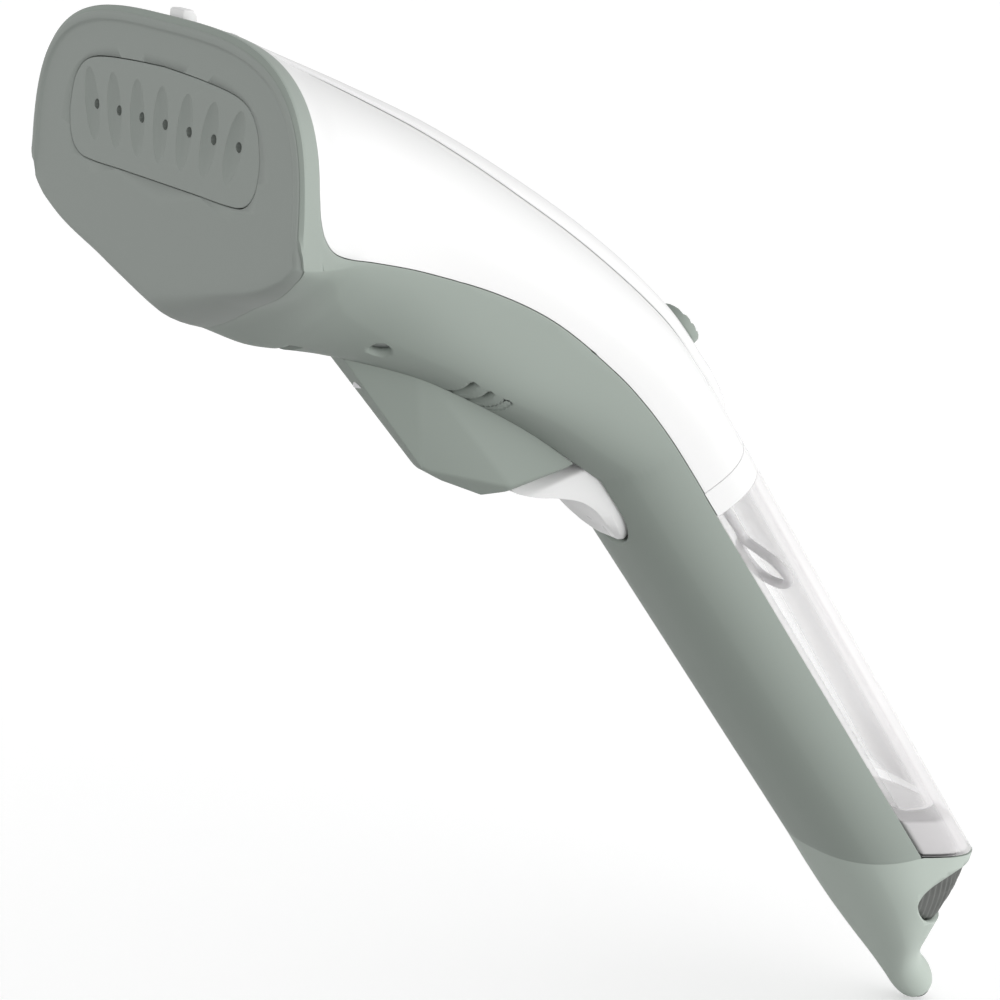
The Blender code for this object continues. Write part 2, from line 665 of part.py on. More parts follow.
def lower_housing():
    shell = keep(body_shell("lower_housing", "sage"), lower_region("region"))
    cut(shell, trigger_slot())
    front, back = CATCH_DEPTHS
    around_catch = rounded_rectangle(2.9, 20.0, 60.0, 0.5)
    cut(shell, front_prism("catch_slot", around_catch, front - GAP, back + GAP, "sage"))
    cut(shell, front_prism("chin_slot", rounded_rectangle(8.0, -34.0, -14.0, 1.0), 27.0, 30.0, "sage"))
    for side in (-1, 1):
        head, away = neck_screw_place(side)
        cut(shell, rod("screw_hole", head - 8 * away, head + 8 * away, 2.3, "sage", sides=14))
        for number in range(3):
            cut(shell, vent_slot("vent", VENT_Y + VENT_PITCH * number, side))
    low, high = (0.0, GUARD_SCREW_Y, -40.0), (0.0, GUARD_SCREW_Y, -15.0)
    cut(shell, rod("guard_screw_hole", low, high, 1.6, "sage"))


def vent_slot(name, y, side):
    """One of the slots beside the guard, running across the belly."""
    z = -32.0 - 0.4 * (y - VENT_Y)
    rings = []
    for height in (-8.0, 6.0):
        slot = rounded_slot(0.0, 0.0, 4.8, 0.95, steps=3)
        rings.append([(side * 13.6 + x, y + a, z + height) for x, a in slot])
    return loft(name, rings, "sage")


def trigger_slot():
    """The opening in the belly that the trigger swings into, round at its lower end."""
    outline = [(-TRIGGER_SLOT_HALF, 98.0), (TRIGGER_SLOT_HALF, 98.0)]
    for i in range(9):
        turn = math.pi * i / 8
        down = TRIGGER_SLOT_FOOT - TRIGGER_SLOT_ROUND * (1 - math.sin(turn))
        outline.append((TRIGGER_SLOT_HALF * math.cos(turn), down))
    return loft("slot", [[handle(down, depth, x) for x, down in outline] for depth in (7.0, 40.0)], "sage")


def neck_screws():
    for side, word in ((-1, "left"), (1, "right")):
        head, away = neck_screw_place(side)
        screw = rod(f"neck_screw_{word}", head - 12 * away, head - 1.5 * away, 1.3, "steel", sides=12)
        join(screw, rod("head", head - 1.6 * away, head + 0.2 * away, 1.9, "steel", sides=14))


def handle_liner():
    """The flat wall that closes the lower housing towards the tank."""
    inner = HANDLE_HALF_WIDTH - WALL - 2 * GAP
    return handle_block("handle_liner", (99.0, 250.0), (SIDE_SEAM + GAP, SIDE_SEAM + GAP + 1.6),
                        (-inner, inner), "white")


# ---------------------------------------------------------------- trigger and its guard

def guard_points(inset=0.0, reach=0.0):
    """Corners of the faceted keel under the neck, its rear ones carried on backwards by reach."""
    side = (
        (3.4, 37.5 + 1.6 * inset, -20.0),
        (1.8 + 0.8 * inset, 65.0 + 0.8 * inset, -50.3 + 1.3 * inset),
        (10.6, 55.0, -26.0),
        (6.2, 84.3 + reach, -54.2 + inset - 0.2 * reach),
        (8.6, 99.0 + reach, -49.5 + inset - 0.5 * reach),
        (9.4, 106.0, -40.0),
        (10.0, 80.0, -20.0),
    )
    middle = ((72.0, -53.9 + inset), (85.4 + reach, -58.9 + inset - 0.37 * reach))
    points = [Vector((sign * (x - inset), y, z)) for x, y, z in side for sign in (-1, 1)]
    points += [Vector((0.0, y, z)) for y, z in middle]
    return points


def hull(name, points, look):
    bm = bmesh.new()
    for point in points:
        bm.verts.new(point)
    made = bmesh.ops.convex_hull(bm, input=bm.verts)
    inside = set(made["geom_interior"] + made["geom_unused"])
    loose = [item for item in inside if isinstance(item, bmesh.types.BMVert)]
    bmesh.ops.delete(bm, geom=loose, context="VERTS")
    return finish_mesh(name, bm, look)


def trigger_guard():
    guard = hull("trigger_guard", guard_points(), "sage")
    down, depth = GUARD_REAR
    rear = [point_2d(down - GUARD_LEAN * (level - depth), level) for level in (-20.0, 60.0)]
    beyond = [point_2d(150.0, 60.0), point_2d(150.0, -20.0)]
    cut(guard, side_prism("rear_face", rear + beyond, 30.0, "sage"))
    hollow = keep(hull("hollow", guard_points(1.2, 6.0), "sage"), front_prism(
        "hollow_end", rounded_rectangle(30.0, -80.0, 0.0, 2.0), 54.0, 120.0, "sage"))
    cut(guard, hollow)
    cut(guard, body_solid("body", GAP))
    return cut(guard, rod("screw_hole", (0.0, GUARD_SCREW_Y, -33.5), (0.0, GUARD_SCREW_Y, -15.0), 1.5, "sage"))


def guard_screw():
    """The screw that draws the guard against the belly from inside."""
    screw = rod("guard_screw", (0.0, GUARD_SCREW_Y, -32.5), (0.0, GUARD_SCREW_Y, -22.0), 1.2, "steel", sides=8)
    head = rod("head", (0.0, GUARD_SCREW_Y, -22.6), (0.0, GUARD_SCREW_Y, -21.0), 2.5, "steel", sides=10)
    join(screw, head)


def trigger():
    rings = []
    for down, front, front_half, root_half, back, lean in TRIGGER_RIBS:
        shoulder = min(18.6, front - 1.0)
        corners = (
            (-front_half, front), (0.0, front - 0.5), (front_half, front), (root_half, shoulder),
            (root_half, back), (-root_half, back), (-root_half, shoulder),
        )
        rings.append([handle(down - lean * (depth - GUARD_REAR[1]), depth, side) for side, depth in corners])
    lever = loft("trigger", rings, "white")
    pivot = handle(*TRIGGER_PIVOT)
    across = Vector((20, 0, 0))
    return cut(lever, rod("bore", pivot - across, pivot + across, 1.6, "white", sides=12))


def trigger_pin():
    pivot = handle(*TRIGGER_PIVOT)
    reach = Vector((5.9, 0, 0))
    return rod("trigger_pin", pivot - reach, pivot + reach, 1.3, "steel", sides=12)


def coil(name, start, end, radius, wire, turns, look):
    """A helical compression spring between two points."""
    start, end = Vector(start), Vector(end)
    axis = (end - start).normalized()
    across = axis.orthogonal().normalized()
    other = axis.cross(across)
    count = int(turns * 7)
    curve = bpy.data.curves.new(name, "CURVE")
    curve.dimensions = "3D"
    curve.bevel_depth = wire * MM
    curve.bevel_resolution = 0
    curve.use_fill_caps = True
    line = curve.splines.new("POLY")
    line.points.add(count)
    for i, spot in enumerate(line.points):
        turn = 2 * math.pi * i / 7
        point = start.lerp(end, i / count) + radius * (math.cos(turn) * across + math.sin(turn) * other)
        spot.co = (*(MM * point), 1.0)
    curve.materials.append(material(look))
    thing = bpy.data.objects.new(name, curve)
    bpy.context.scene.collection.objects.link(thing)
    return thing


def trigger_spring():
    return coil("trigger_spring", handle(130.0, 11.2), handle(130.0, 5.8), 2.4, 0.35, 4, "steel")


def micro_switch():
    """The switch that the trigger closes, with its small button facing the trigger."""
    case = handle_block("micro_switch", (109.0, 121.0), (5.4, 10.2), (-3.0, 3.0), "dark_grey")
    return join(case, rod("button", handle(118.6, 9.8), handle(118.6, 10.9), 1.0, "dark_grey", sides=10))


# ---------------------------------------------------------------- water and electrics in the neck and handle

def pump():
    """The solenoid pump in its cradle: a coil body with a bore, its plunger and the plunger's spring."""
    start, end = PUMP_ENDS
    axis = (end - start).normalized()
    body = rod("pump_body", start, end, PUMP_RADIUS, "dark_grey", sides=18)
    cut(body, rod("bore", start + 6 * axis, end + 2 * axis, 3.4, "dark_grey", sides=12))
    plunger = rod("pump_plunger", start + 12 * axis, start + 24.0 * axis, 3.0, "steel", sides=12)
    on_axis("plunger_travel", start + 12 * axis, [plunger])
    coil("pump_spring", start + 6.8 * axis, start + 11.4 * axis, 2.2, 0.3, 4, "steel")
    outline = [(58.0, -6.0), (72.0, -12.0), (72.0, -30.5), (58.0, -26.5)]
    cradle = side_prism("pump_cradle", outline, 9.5, "dark_grey")
    cut(cradle, rod("seat", start - 5 * axis, end + 5 * axis, PUMP_RADIUS + GAP, "dark_grey", sides=18))


def electrics():
    handle_block("circuit_board", (158.0, 200.0), (8.2, 9.8), (-13.0, 13.0), "green_board")
    handle_block("relay", (164.0, 180.0), (10.1, 14.6), (-6.0, 6.0), "dark_grey")
    rod("capacitor", handle(186.0, 12.5, -5.0), handle(196.0, 12.5, -5.0), 2.2, "dark_grey", sides=14)
    lead = ((204.0, 10.2), (220.0, 10.4), (236.0, 10.6), (252.0, 11.0), (268.0, 11.6), (284.0, 12.2),
            (297.0, GLAND_DEPTH))
    hose("inner_lead", [handle(down, depth) for down, depth in lead], 2.4, "dark_grey")


def hoses():
    hose("feed_hose", [(0.0, 30.0, 15.0), (0.0, 36.0, 14.0), (0.0, 41.0, 8.6), (0.0, 46.0, 2.6),
                       (0.0, 50.6, -1.0)], 2.0, "silicone", steps=3)
    side, depth = OUTLET
    hose("water_hose", [handle(128.4, depth, side), handle(122.0, -4.0, 9.6), handle(112.0, -3.0, 8.6),
                        handle(103.0, -1.5, 6.0), (2.5, 92.0, -19.6), (0.0, 84.0, -16.8), (0.0, 78.5, -14.3)],
         2.4, "silicone", steps=3)


# ---------------------------------------------------------------- tank

def tank_region(name, top, bottom, front):
    """The rear part of the handle between two slanted planes."""
    outline = [
        point_2d(plane_down(top[0], top[1], front), front),
        point_2d(plane_down(bottom[0], bottom[1], front), front),
        point_2d(plane_down(bottom[0], bottom[1], -40.0), -40.0),
        point_2d(plane_down(top[0], top[1], -40.0), -40.0),
    ]
    return side_prism(name, outline, 40.0, "clear")


def handle_piece(name, grow, look):
    rings = [handle_section(110.0, 0.0, grow), handle_section(330.0, 0.0, grow)]
    return loft(name, rings, look)


def water_tank():
    tank = handle_piece("water_tank", 0.0, "clear")
    top, bottom = (COLLAR_FOOT + GAP, COLLAR_SLANT), (TAIL_SEAM - GAP, TAIL_SLANT)
    keep(tank, tank_region("region", top, bottom, SIDE_SEAM))
    hollow = handle_piece("hollow", -2.0, "clear")
    base = (TAIL_SEAM - TANK_BASE, TAIL_SLANT)
    keep(hollow, tank_region("inside", (COLLAR_FOOT - 5.0, COLLAR_SLANT), base, SIDE_SEAM - 2.0))
    return cut(tank, hollow)


def tank_cap():
    """The white ring and lid welded on the tank's top, with the filler and the outlet bores."""
    cap = handle_piece("tank_cap", 0.0, "white")
    keep(cap, tank_region("region", (COLLAR_TOP + GAP, COLLAR_SLANT), (COLLAR_FOOT, COLLAR_SLANT), SIDE_SEAM))
    side, depth = FILLER
    cut(cap, rod("recess", handle(130.0, depth, side), handle(142.3, depth, side), 5.4, "white", sides=20))
    cut(cap, rod("bore", handle(140.0, depth, side), handle(160.0, depth, side), 4.4, "white"))
    side, depth = OUTLET
    return cut(cap, rod("bore", handle(130.0, depth, side), handle(160.0, depth, side), 1.8, "white"))


def filler_plug():
    """The rubber plug, its head sunk in the cap and its stem in the filler bore."""
    side, depth = FILLER
    plug = rod("filler_plug", handle(139.8, depth, side), handle(149.1, depth, side), 3.9, "grey_rubber")
    head = rod("head", handle(139.8, depth, side), handle(142.0, depth, side), 5.0, "grey_rubber", sides=20)
    return join(plug, head)


def filler_tether():
    """The flat strap with a loop that hangs from the plug inside the tank."""
    outer = [
        (3.4, 184.0), (7.4, 183.0), (10.6, 180.0), (11.4, 176.6), (9.6, 173.4), (5.6, 171.4), (1.0, 170.4),
        (0.9, 149.4), (-2.1, 149.4), (-2.4, 171.6), (-4.4, 175.0), (-4.6, 178.6), (-2.6, 182.0), (0.6, 183.8),
    ]
    hole = [
        (3.4, 181.6), (6.4, 180.8), (8.6, 178.6), (8.9, 176.6), (7.6, 175.0), (4.4, 173.8), (0.4, 173.4),
        (-1.6, 175.2), (-2.2, 178.2), (-0.8, 180.6), (1.2, 181.4),
    ]
    depth = FILLER[1]
    strap = loft("filler_tether", [[handle(d, depth + t, x) for x, d in outer] for t in (-1.2, 0.0)], "grey_rubber")
    inside = loft("hole", [[handle(d, depth + t, x) for x, d in hole] for t in (-3.0, 2.0)], "grey_rubber")
    return cut(strap, inside)


def outlet_valve():
    """The valve in the tank's outlet: a stem in the cap's bore with a flange under it."""
    side, depth = OUTLET
    stem = rod("outlet_valve", handle(138.9, depth, side), handle(149.0, depth, side), 1.4, "white", sides=12)
    flange = rod("flange", handle(145.6, depth, side), handle(147.4, depth, side), 3.2, "white", sides=12)
    return join(stem, flange)


def dock_seal():
    """The rubber grommet between the dock and the tank's cap, over the valve."""
    side, depth = OUTLET
    ring = rod("dock_seal", handle(131.8, depth, side), handle(137.2, depth, side), 3.6, "grey_rubber")
    return cut(ring, rod("bore", handle(125.0, depth, side), handle(145.0, depth, side), 1.8, "grey_rubber"))


def tank_dock():
    """The wall above the tank, with the port that the water hose starts from."""
    dock = handle_piece("tank_dock", -WALL - GAP, "white")
    keep(dock, handle_block("slab", (129.3, 131.5), (-30.0, SIDE_SEAM), (-30.0, 30.0), "white"))
    side, depth = OUTLET
    return cut(dock, rod("port", handle(120.0, depth, side), handle(140.0, depth, side), 1.8, "white"))


# ---------------------------------------------------------------- tail

def tail_sections(grow=0.0, start=0.0):
    rings = [handle_section(TAIL_SEAM + start, TAIL_SLANT, grow, TAIL_FRONT_SLANT)]
    powers = (2.6, 2.7, 2.6, 2.3, 2.0, 2.0, 2.0, 2.0)
    for (front, rear, half_width), power in zip(TAIL_RIBS, powers):
        ridge, belly = handle(*rear), handle(*front)
        rings.append(section(ridge, belly, 0.5, half_width, power, power, grow))
    return rings


def tail_cap():
    cap = loft("tail_cap", tail_sections(), "sage")
    rings = tail_sections(-WALL, -4.0)[:5]
    cut(cap, loft("hollow", rings, "sage"))
    cut(cap, rod("cord_bore", handle(280.0, GLAND_DEPTH), handle(320.0, GLAND_DEPTH), 2.8, "sage"))
    for side in (-1, 1):
        cut(cap, release_window("window", side, 0.0, 6.0, 26.0))
    return cap


def release_window(name, side, inset, low, high):
    """The rounded window in the tail's side that a release button fills."""
    corners = (
        (269.2, 6.4), (269.8, 1.4), (272.6, -4.6), (277.6, -11.4), (284.8, -9.0), (285.6, 0.4), (283.6, 5.4),
        (278.6, 8.6), (271.8, 9.0),
    )
    rings = []
    for x in sorted((side * low, side * high)):
        ring = []
        for down, depth in corners:
            offset = Vector((down - BUTTON_MIDDLE[0], depth - BUTTON_MIDDLE[1]))
            offset *= 1 - inset / offset.length
            ring.append(handle(BUTTON_MIDDLE[0] + offset.x, BUTTON_MIDDLE[1] + offset.y, x))
        rings.append(ring)
    return loft(name, rings, "dark_grey")


def release_button(side, word):
    button = release_window(f"release_button_{word}", side, 0.5, 9.0, 26.0)
    keep(button, loft("inside", tail_sections(-0.8), "dark_grey"))
    start, end = (handle(*BUTTON_MIDDLE, side * x) for x in (8.6, 4.0))
    return [button, coil(f"release_spring_{word}", start, end, 2.0, 0.3, 4, "steel")]


def cord_gland():
    """The rubber bush in the tail's tip that the mains lead would pass through."""
    bush = rod("cord_gland", handle(298.0, GLAND_DEPTH), handle(310.6, GLAND_DEPTH), 2.5, "dark_grey")
    cut(bush, rod("bore", handle(297.0, GLAND_DEPTH), handle(314.0, GLAND_DEPTH), 1.5, "dark_grey"))


# ---------------------------------------------------------------- button on the spine

def mode_slider():
    """The sage thumb slider with its grip ribs, sitting on the spine cover."""
    height = SLIDER["height"]
    slider = slider_block("mode_slider", SLIDER["half_length"], 5.0, height, height + 2.2, 0.0, "sage")
    foot = slider_block("foot", SLIDER["foot_half_length"], SLIDER["foot_half_width"], -3.4, height + 0.5, 0.0,
                        "sage")
    join(slider, foot)
    point, along, out = slider_frame()
    for step in (-3.6, 0.0, 3.6):
        start = point + (height + 2.9) * out + (step - 1.8) * along
        rib = rod("groove", start - Vector((8, 0, 0)), start + Vector((8, 0, 0)), 0.9, "sage", sides=10)
        cut(slider, rib)
    return slider


def slide_switch():
    """The slide switch under the spine, which the slider's foot moves."""
    return slider_block("slide_switch", 9.0, 5.0, -9.0, -3.8, SLIDER["travel"] / 2, "dark_grey")


def on_axis(name, point, pieces):
    """An empty on the axis of a joint, which the pieces that move with it hang from."""
    empty = bpy.data.objects.new(name, None)
    empty.location = MM * Vector(point)
    bpy.context.scene.collection.objects.link(empty)
    for piece in pieces:
        piece.parent = empty
        piece.matrix_parent_inverse = Matrix.Translation(-MM * Vector(point))


def build():
    clear_scene()
    face_plate()
    steam_insert()
    steam_gasket()
    steam_manifold()
    boiler()
    heating_element()
    boiler_cover()
    boiler_screws()
    thermal_controls()
    upper_housing()
    lower_housing()
    spine_cover()
    accessory_catch()
    slide_switch()
    neck_screws()
    handle_liner()
    trigger_guard()
    guard_screw()
    trigger_pin()
    trigger_spring()
    micro_switch()
    pump()
    hoses()
    electrics()
    tank_dock()
    dock_seal()
    tail_cap()
    cord_gland()
    on_axis("trigger_axis", handle(*TRIGGER_PIVOT), [trigger()])
    on_axis("slider_track", slider_frame()[0], [mode_slider()])
    side, depth = FILLER
    tank = [water_tank(), tank_cap(), outlet_valve(), filler_plug(), filler_tether()]
    on_axis("tank_travel", handle(COLLAR_FOOT, depth, side), tank)
    for side, word in ((-1, "left"), (1, "right")):
        on_axis(f"button_travel_{word}", handle(*BUTTON_MIDDLE, side * 10.0), release_button(side, word))


build()
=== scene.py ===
"""Looks of the handheld garment steamer: fine shells, materials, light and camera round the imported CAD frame.

Lengths inside the script are millimetres in the row frame (X across, -Y the way the steam leaves, +Z up);
make_piece turns them into metres.
"""

import json
import math

import bmesh
import bpy
from mathutils import Matrix, Vector
from mathutils.bvhtree import BVHTree

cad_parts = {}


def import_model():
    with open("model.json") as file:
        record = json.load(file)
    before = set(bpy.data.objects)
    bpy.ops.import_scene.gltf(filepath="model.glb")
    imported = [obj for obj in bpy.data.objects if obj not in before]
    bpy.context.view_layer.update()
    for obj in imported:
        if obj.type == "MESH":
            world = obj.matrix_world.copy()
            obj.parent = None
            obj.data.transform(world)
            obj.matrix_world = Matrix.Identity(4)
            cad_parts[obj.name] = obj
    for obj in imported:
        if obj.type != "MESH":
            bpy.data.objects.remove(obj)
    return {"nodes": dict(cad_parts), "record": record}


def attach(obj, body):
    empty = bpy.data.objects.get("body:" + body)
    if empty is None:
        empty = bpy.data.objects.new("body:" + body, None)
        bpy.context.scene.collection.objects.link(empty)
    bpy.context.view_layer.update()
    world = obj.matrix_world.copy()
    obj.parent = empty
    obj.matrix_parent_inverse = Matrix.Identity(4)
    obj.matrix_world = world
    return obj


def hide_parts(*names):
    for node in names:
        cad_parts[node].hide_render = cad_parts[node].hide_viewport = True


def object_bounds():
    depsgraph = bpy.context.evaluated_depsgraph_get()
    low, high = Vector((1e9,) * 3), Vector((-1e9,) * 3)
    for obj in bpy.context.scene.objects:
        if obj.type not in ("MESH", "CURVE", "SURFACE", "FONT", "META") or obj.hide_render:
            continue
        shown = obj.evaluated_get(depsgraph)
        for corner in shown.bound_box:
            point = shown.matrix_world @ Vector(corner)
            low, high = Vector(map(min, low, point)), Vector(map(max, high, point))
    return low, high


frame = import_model()
CAD_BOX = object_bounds()

MM = 0.001
WALL = 2.2                      # thickness of the moulded shells
SEAM_GAP = 0.12                 # half of the fine gap that a parting line leaves
EDGE = 0.14                     # rounding of the shells' cut edges
BAND_DEPTH = 6.4                # how far the sage housing wraps the head
STEAM_ROW_Z = 20.0
HOLES = 7                       # steam holes in the insert
HOLE_PITCH = 9.0
CATCH_DEPTHS = (2.4, 5.6)       # front and back of the accessory catch
CATCH_ROOM = 0.3                # left free round the catch
NECK_SCREW = (14.5, 43.5, -20.4)
VENT_Y = 64.2                   # the first vent, and the step to the next
VENT_PITCH = 4.3

HANDLE_FALL = math.radians(50.27)   # how far the handle's axis falls below the horizontal, going back
HANDLE_ZERO = Vector((0.0, 39.07, 52.46))
HANDLE_HALF_WIDTH = 21.0
HANDLE_POWER = 2.5
HANDLE_TOP = (124.0, 17.7, -16.7)       # down, depth of its front, depth of its rear
HANDLE_FOOT = (290.0, 16.6, -14.9)
SIDE_SEAM = 3.1                 # depth of the seam between the tank and the housing
COLLAR_TOP, COLLAR_FOOT, COLLAR_SLANT = 136.7, 143.8, 0.155
TAIL_SEAM, TAIL_SLANT, TAIL_FRONT_SLANT = 258.4, 1.1, 0.6
TANK_BASE = 15.0
GLAND_DEPTH = 12.3              # depth of the lead's way out through the tail's tip
DOWN_PER_RIB = 20.0             # handle length counted as one rib in the body's own coordinate

# Ribs of the body from the face back: ridge (y, z), belly (y, z), share of the height where it is widest,
# half width, squareness above and below.
HEAD_RIBS = (
    ((0.0, 40.6), (0.0, -17.0), 0.66, 52.4, 3.4, 1.28),
    ((8.0, 38.3), (6.0, -18.8), 0.65, 47.4, 3.2, 1.3),
    ((20.0, 33.6), (14.0, -21.0), 0.62, 39.0, 2.8, 1.35),
    ((38.0, 26.8), (24.0, -23.0), 0.57, 29.5, 2.6, 1.5),
    ((56.0, 19.4), (38.0, -25.0), 0.53, 24.6, 2.5, 1.9),
    ((76.0, 9.2), (54.0, -28.6), 0.52, 22.6, 2.5, 3.0),
    ((97.0, -3.2), (70.0, -34.7), 0.50, 21.8, 2.5, 4.0),
    ((118.0, -18.4), (86.0, -42.7), 0.48, 21.3, 2.5, 3.2),
)
# Ribs of the tail: (down, depth) in front, (down, depth) behind, half width, squareness.
TAIL_RIBS = (
    ((263.0, 16.9), (282.2, -8.0), 18.6, 2.6),
    ((275.0, 17.0), (285.6, -0.6), 15.0, 2.7),
    ((285.0, 17.1), (289.8, 4.4), 11.2, 2.6),
    ((293.0, 17.3), (294.2, 6.9), 7.4, 2.3),
    ((299.0, 17.5), (299.0, 7.6), 5.4, 2.0),
    ((304.5, 17.4), (304.5, 7.3), 4.9, 2.0),
    ((308.4, 16.4), (308.4, 8.2), 4.1, 2.0),
    ((310.6, 14.4), (310.6, 10.4), 2.2, 2.0),
)
# The seam between the two housings: (y, z) from the band back, then (down, depth) on the handle.
NECK_SEAM = (
    (6.4, 15.0), (7.3, 10.4), (10.0, 6.4), (15.0, 3.0), (22.5, 0.5), (32.0, -1.5), (46.0, -4.5),
    (65.7, -10.0), (81.0, -16.6), (97.4, -27.6),
)
HANDLE_SEAM = ((110.0, 4.3), (121.0, 3.3), (129.0, SIDE_SEAM), (COLLAR_TOP, SIDE_SEAM))


# ---------------------------------------------------------------- coordinates

def handle(down, depth, side=0.0):
    """A point given by how far down the handle it lies and how far in front of the handle's centre."""
    along = Vector((0.0, math.cos(HANDLE_FALL), -math.sin(HANDLE_FALL)))
    front = Vector((0.0, -math.sin(HANDLE_FALL), -math.cos(HANDLE_FALL)))
    return HANDLE_ZERO + down * along + depth * front + Vector((side, 0.0, 0.0))


def to_handle(y, z):
    """The down and depth coordinates of a side view point."""
    dy, dz = y - HANDLE_ZERO.y, z - HANDLE_ZERO.z
    down = dy * math.cos(HANDLE_FALL) - dz * math.sin(HANDLE_FALL)
    return down, -dy * math.sin(HANDLE_FALL) - dz * math.cos(HANDLE_FALL)


def smoothstep(low, high, value):
    """0 below low, 1 above high, and a smooth rise between them."""
    t = min(1.0, max(0.0, (value - low) / (high - low)))
    return t * t * (3 - 2 * t)


def spaced(start, end, count):
    """count + 1 values from start to end at even steps."""
    return [start + (end - start) * i / count for i in range(count + 1)]


def turning_place(low, high, before):
    """The place between low and high where before(place) turns false."""
    for _ in range(40):
        middle = (low + high) / 2
        low, high = (middle, high) if before(middle) else (low, middle)
    return low


class Track:
    """A cubic curve through rows of numbers, measured in row numbers from 0."""

    def __init__(self, rows):
        self.rows = rows
        places = [0.0]
        for first, second in zip(rows, rows[1:]):
            places.append(places[-1] + math.dist(first[:3], second[:3]))
        self.spans = [b - a for a, b in zip(places, places[1:])]
        self.slopes = []
        last = len(rows) - 1
        for i in range(len(rows)):
            low, high = max(i - 1, 0), min(i + 1, last)
            length = places[high] - places[low]
            self.slopes.append([(b - a) / length for a, b in zip(rows[low], rows[high])])

    def at(self, number):
        i = min(int(number), len(self.rows) - 2)
        u = number - i
        w0, w1 = 2 * u**3 - 3 * u**2 + 1, u**3 - 2 * u**2 + u
        w2, w3 = -2 * u**3 + 3 * u**2, u**3 - u**2
        span = self.spans[i]
        parts = zip(self.rows[i], self.slopes[i], self.rows[i + 1], self.slopes[i + 1])
        return [w0 * a + w1 * span * m + w2 * b + w3 * span * n for a, m, b, n in parts]

    def points(self, steps):
        """Points along the whole curve, with so many steps from row to row."""
        return [self.at(i / steps) for i in range(steps * (len(self.rows) - 1) + 1)]


def body_track():
    """The body's ribs from the face to the top of the handle, as one smooth curve."""
    rows = [(*ridge, *belly, *rest) for ridge, belly, *rest in HEAD_RIBS]
    joint, front, rear = HANDLE_TOP
    ridge, belly = handle(joint, rear), handle(joint, front)
    share = rear / (rear - front)
    rows.append((ridge.y, ridge.z, belly.y, belly.z, share, HANDLE_HALF_WIDTH, HANDLE_POWER, HANDLE_POWER))
    return Track(rows)


BODY = body_track()
JOINT_RIB = len(HEAD_RIBS)


def ring_point(ridge, belly, share, half_width, power, turn, grow):
    """A point of one closed section; turn is 0 at the ridge and pi at the belly."""
    up = (ridge - belly).normalized()
    middle = ridge.lerp(belly, share)
    reach = ((ridge if math.cos(turn) > 0 else belly) - middle).length + grow
    x = math.copysign(abs(math.sin(turn)) ** (2 / power), math.sin(turn)) * (half_width + grow)
    h = math.copysign(abs(math.cos(turn)) ** (2 / power), math.cos(turn)) * reach
    return middle + h * up + Vector((x, 0.0, 0.0))


def handle_depth(turn, down, grow=0.0):
    """Depth of the handle's straight line at a turn, and its side coordinate."""
    top, top_front, top_rear = HANDLE_TOP
    foot, foot_front, foot_rear = HANDLE_FOOT
    rear = math.cos(turn) > 0
    share = abs(math.cos(turn)) ** (2 / HANDLE_POWER)
    start, end = (top_rear - grow, foot_rear - grow) if rear else (top_front + grow, foot_front + grow)
    x = math.copysign(abs(math.sin(turn)) ** (2 / HANDLE_POWER), math.sin(turn)) * (HANDLE_HALF_WIDTH + grow)
    return share * (start + (end - start) * (down - top) / (foot - top)), x


def skin(rib, turn, grow=0.0):
    """A point on the body's outer skin. rib counts the ribs from the face, then the handle's length."""
    if rib > JOINT_RIB:
        down = HANDLE_TOP[0] + (rib - JOINT_RIB) * DOWN_PER_RIB
        depth, x = handle_depth(turn, down, grow)
        return handle(down, depth, x)
    ridge_y, ridge_z, belly_y, belly_z, share, half_width, upper, lower = BODY.at(rib)
    power = upper if math.cos(turn) > 0 else lower
    ridge, belly = Vector((0.0, ridge_y, ridge_z)), Vector((0.0, belly_y, belly_z))
    return ring_point(ridge, belly, share, half_width, power, turn, grow)


def rib_of_down(down):
    """The rib coordinate of a place down the handle."""
    return JOINT_RIB + (down - HANDLE_TOP[0]) / DOWN_PER_RIB


def skin_place(y, z):
    """The (rib, turn) of the skin point on the right side that a side view point falls on."""
    down, depth = to_handle(y, z)
    if down >= HANDLE_TOP[0]:
        full, _ = handle_depth(0.0 if depth < 0 else math.pi, down)
        share = min(1.0, depth / full)
        turn = math.acos(share ** (HANDLE_POWER / 2))
        return rib_of_down(down), (turn if depth < 0 else math.pi - turn)

    def before(rib):
        ridge_y, ridge_z, belly_y, belly_z, *_ = BODY.at(rib)
        return (ridge_y - belly_y) * (z - belly_z) < (ridge_z - belly_z) * (y - belly_y)

    rib = turning_place(0.0, float(JOINT_RIB), before)
    ridge_y, ridge_z, belly_y, belly_z, share, _, upper, lower = BODY.at(rib)
    length = math.hypot(ridge_y - belly_y, ridge_z - belly_z)
    height = math.hypot(y - belly_y, z - belly_z) / length - (1 - share)
    if height > 0:
        return rib, math.acos(min(1.0, height / share) ** (upper / 2))
    return rib, math.pi - math.acos(min(1.0, -height / (1 - share)) ** (lower / 2))


def rib_at_y(turn, y):
    """Where along the body the skin reaches a given y near the face."""
    return turning_place(0.0, 2.0, lambda rib: skin(rib, turn).y < y)


def rib_in_cut(turn, at_seam, slant, front_slant):
    """Where along the body a slanted cut across the handle meets the line at a turn."""
    down = at_seam
    for _ in range(12):
        depth, _ = handle_depth(turn, down)
        down = at_seam + (slant if depth < SIDE_SEAM else front_slant) * (SIDE_SEAM - depth)
    return rib_of_down(down)


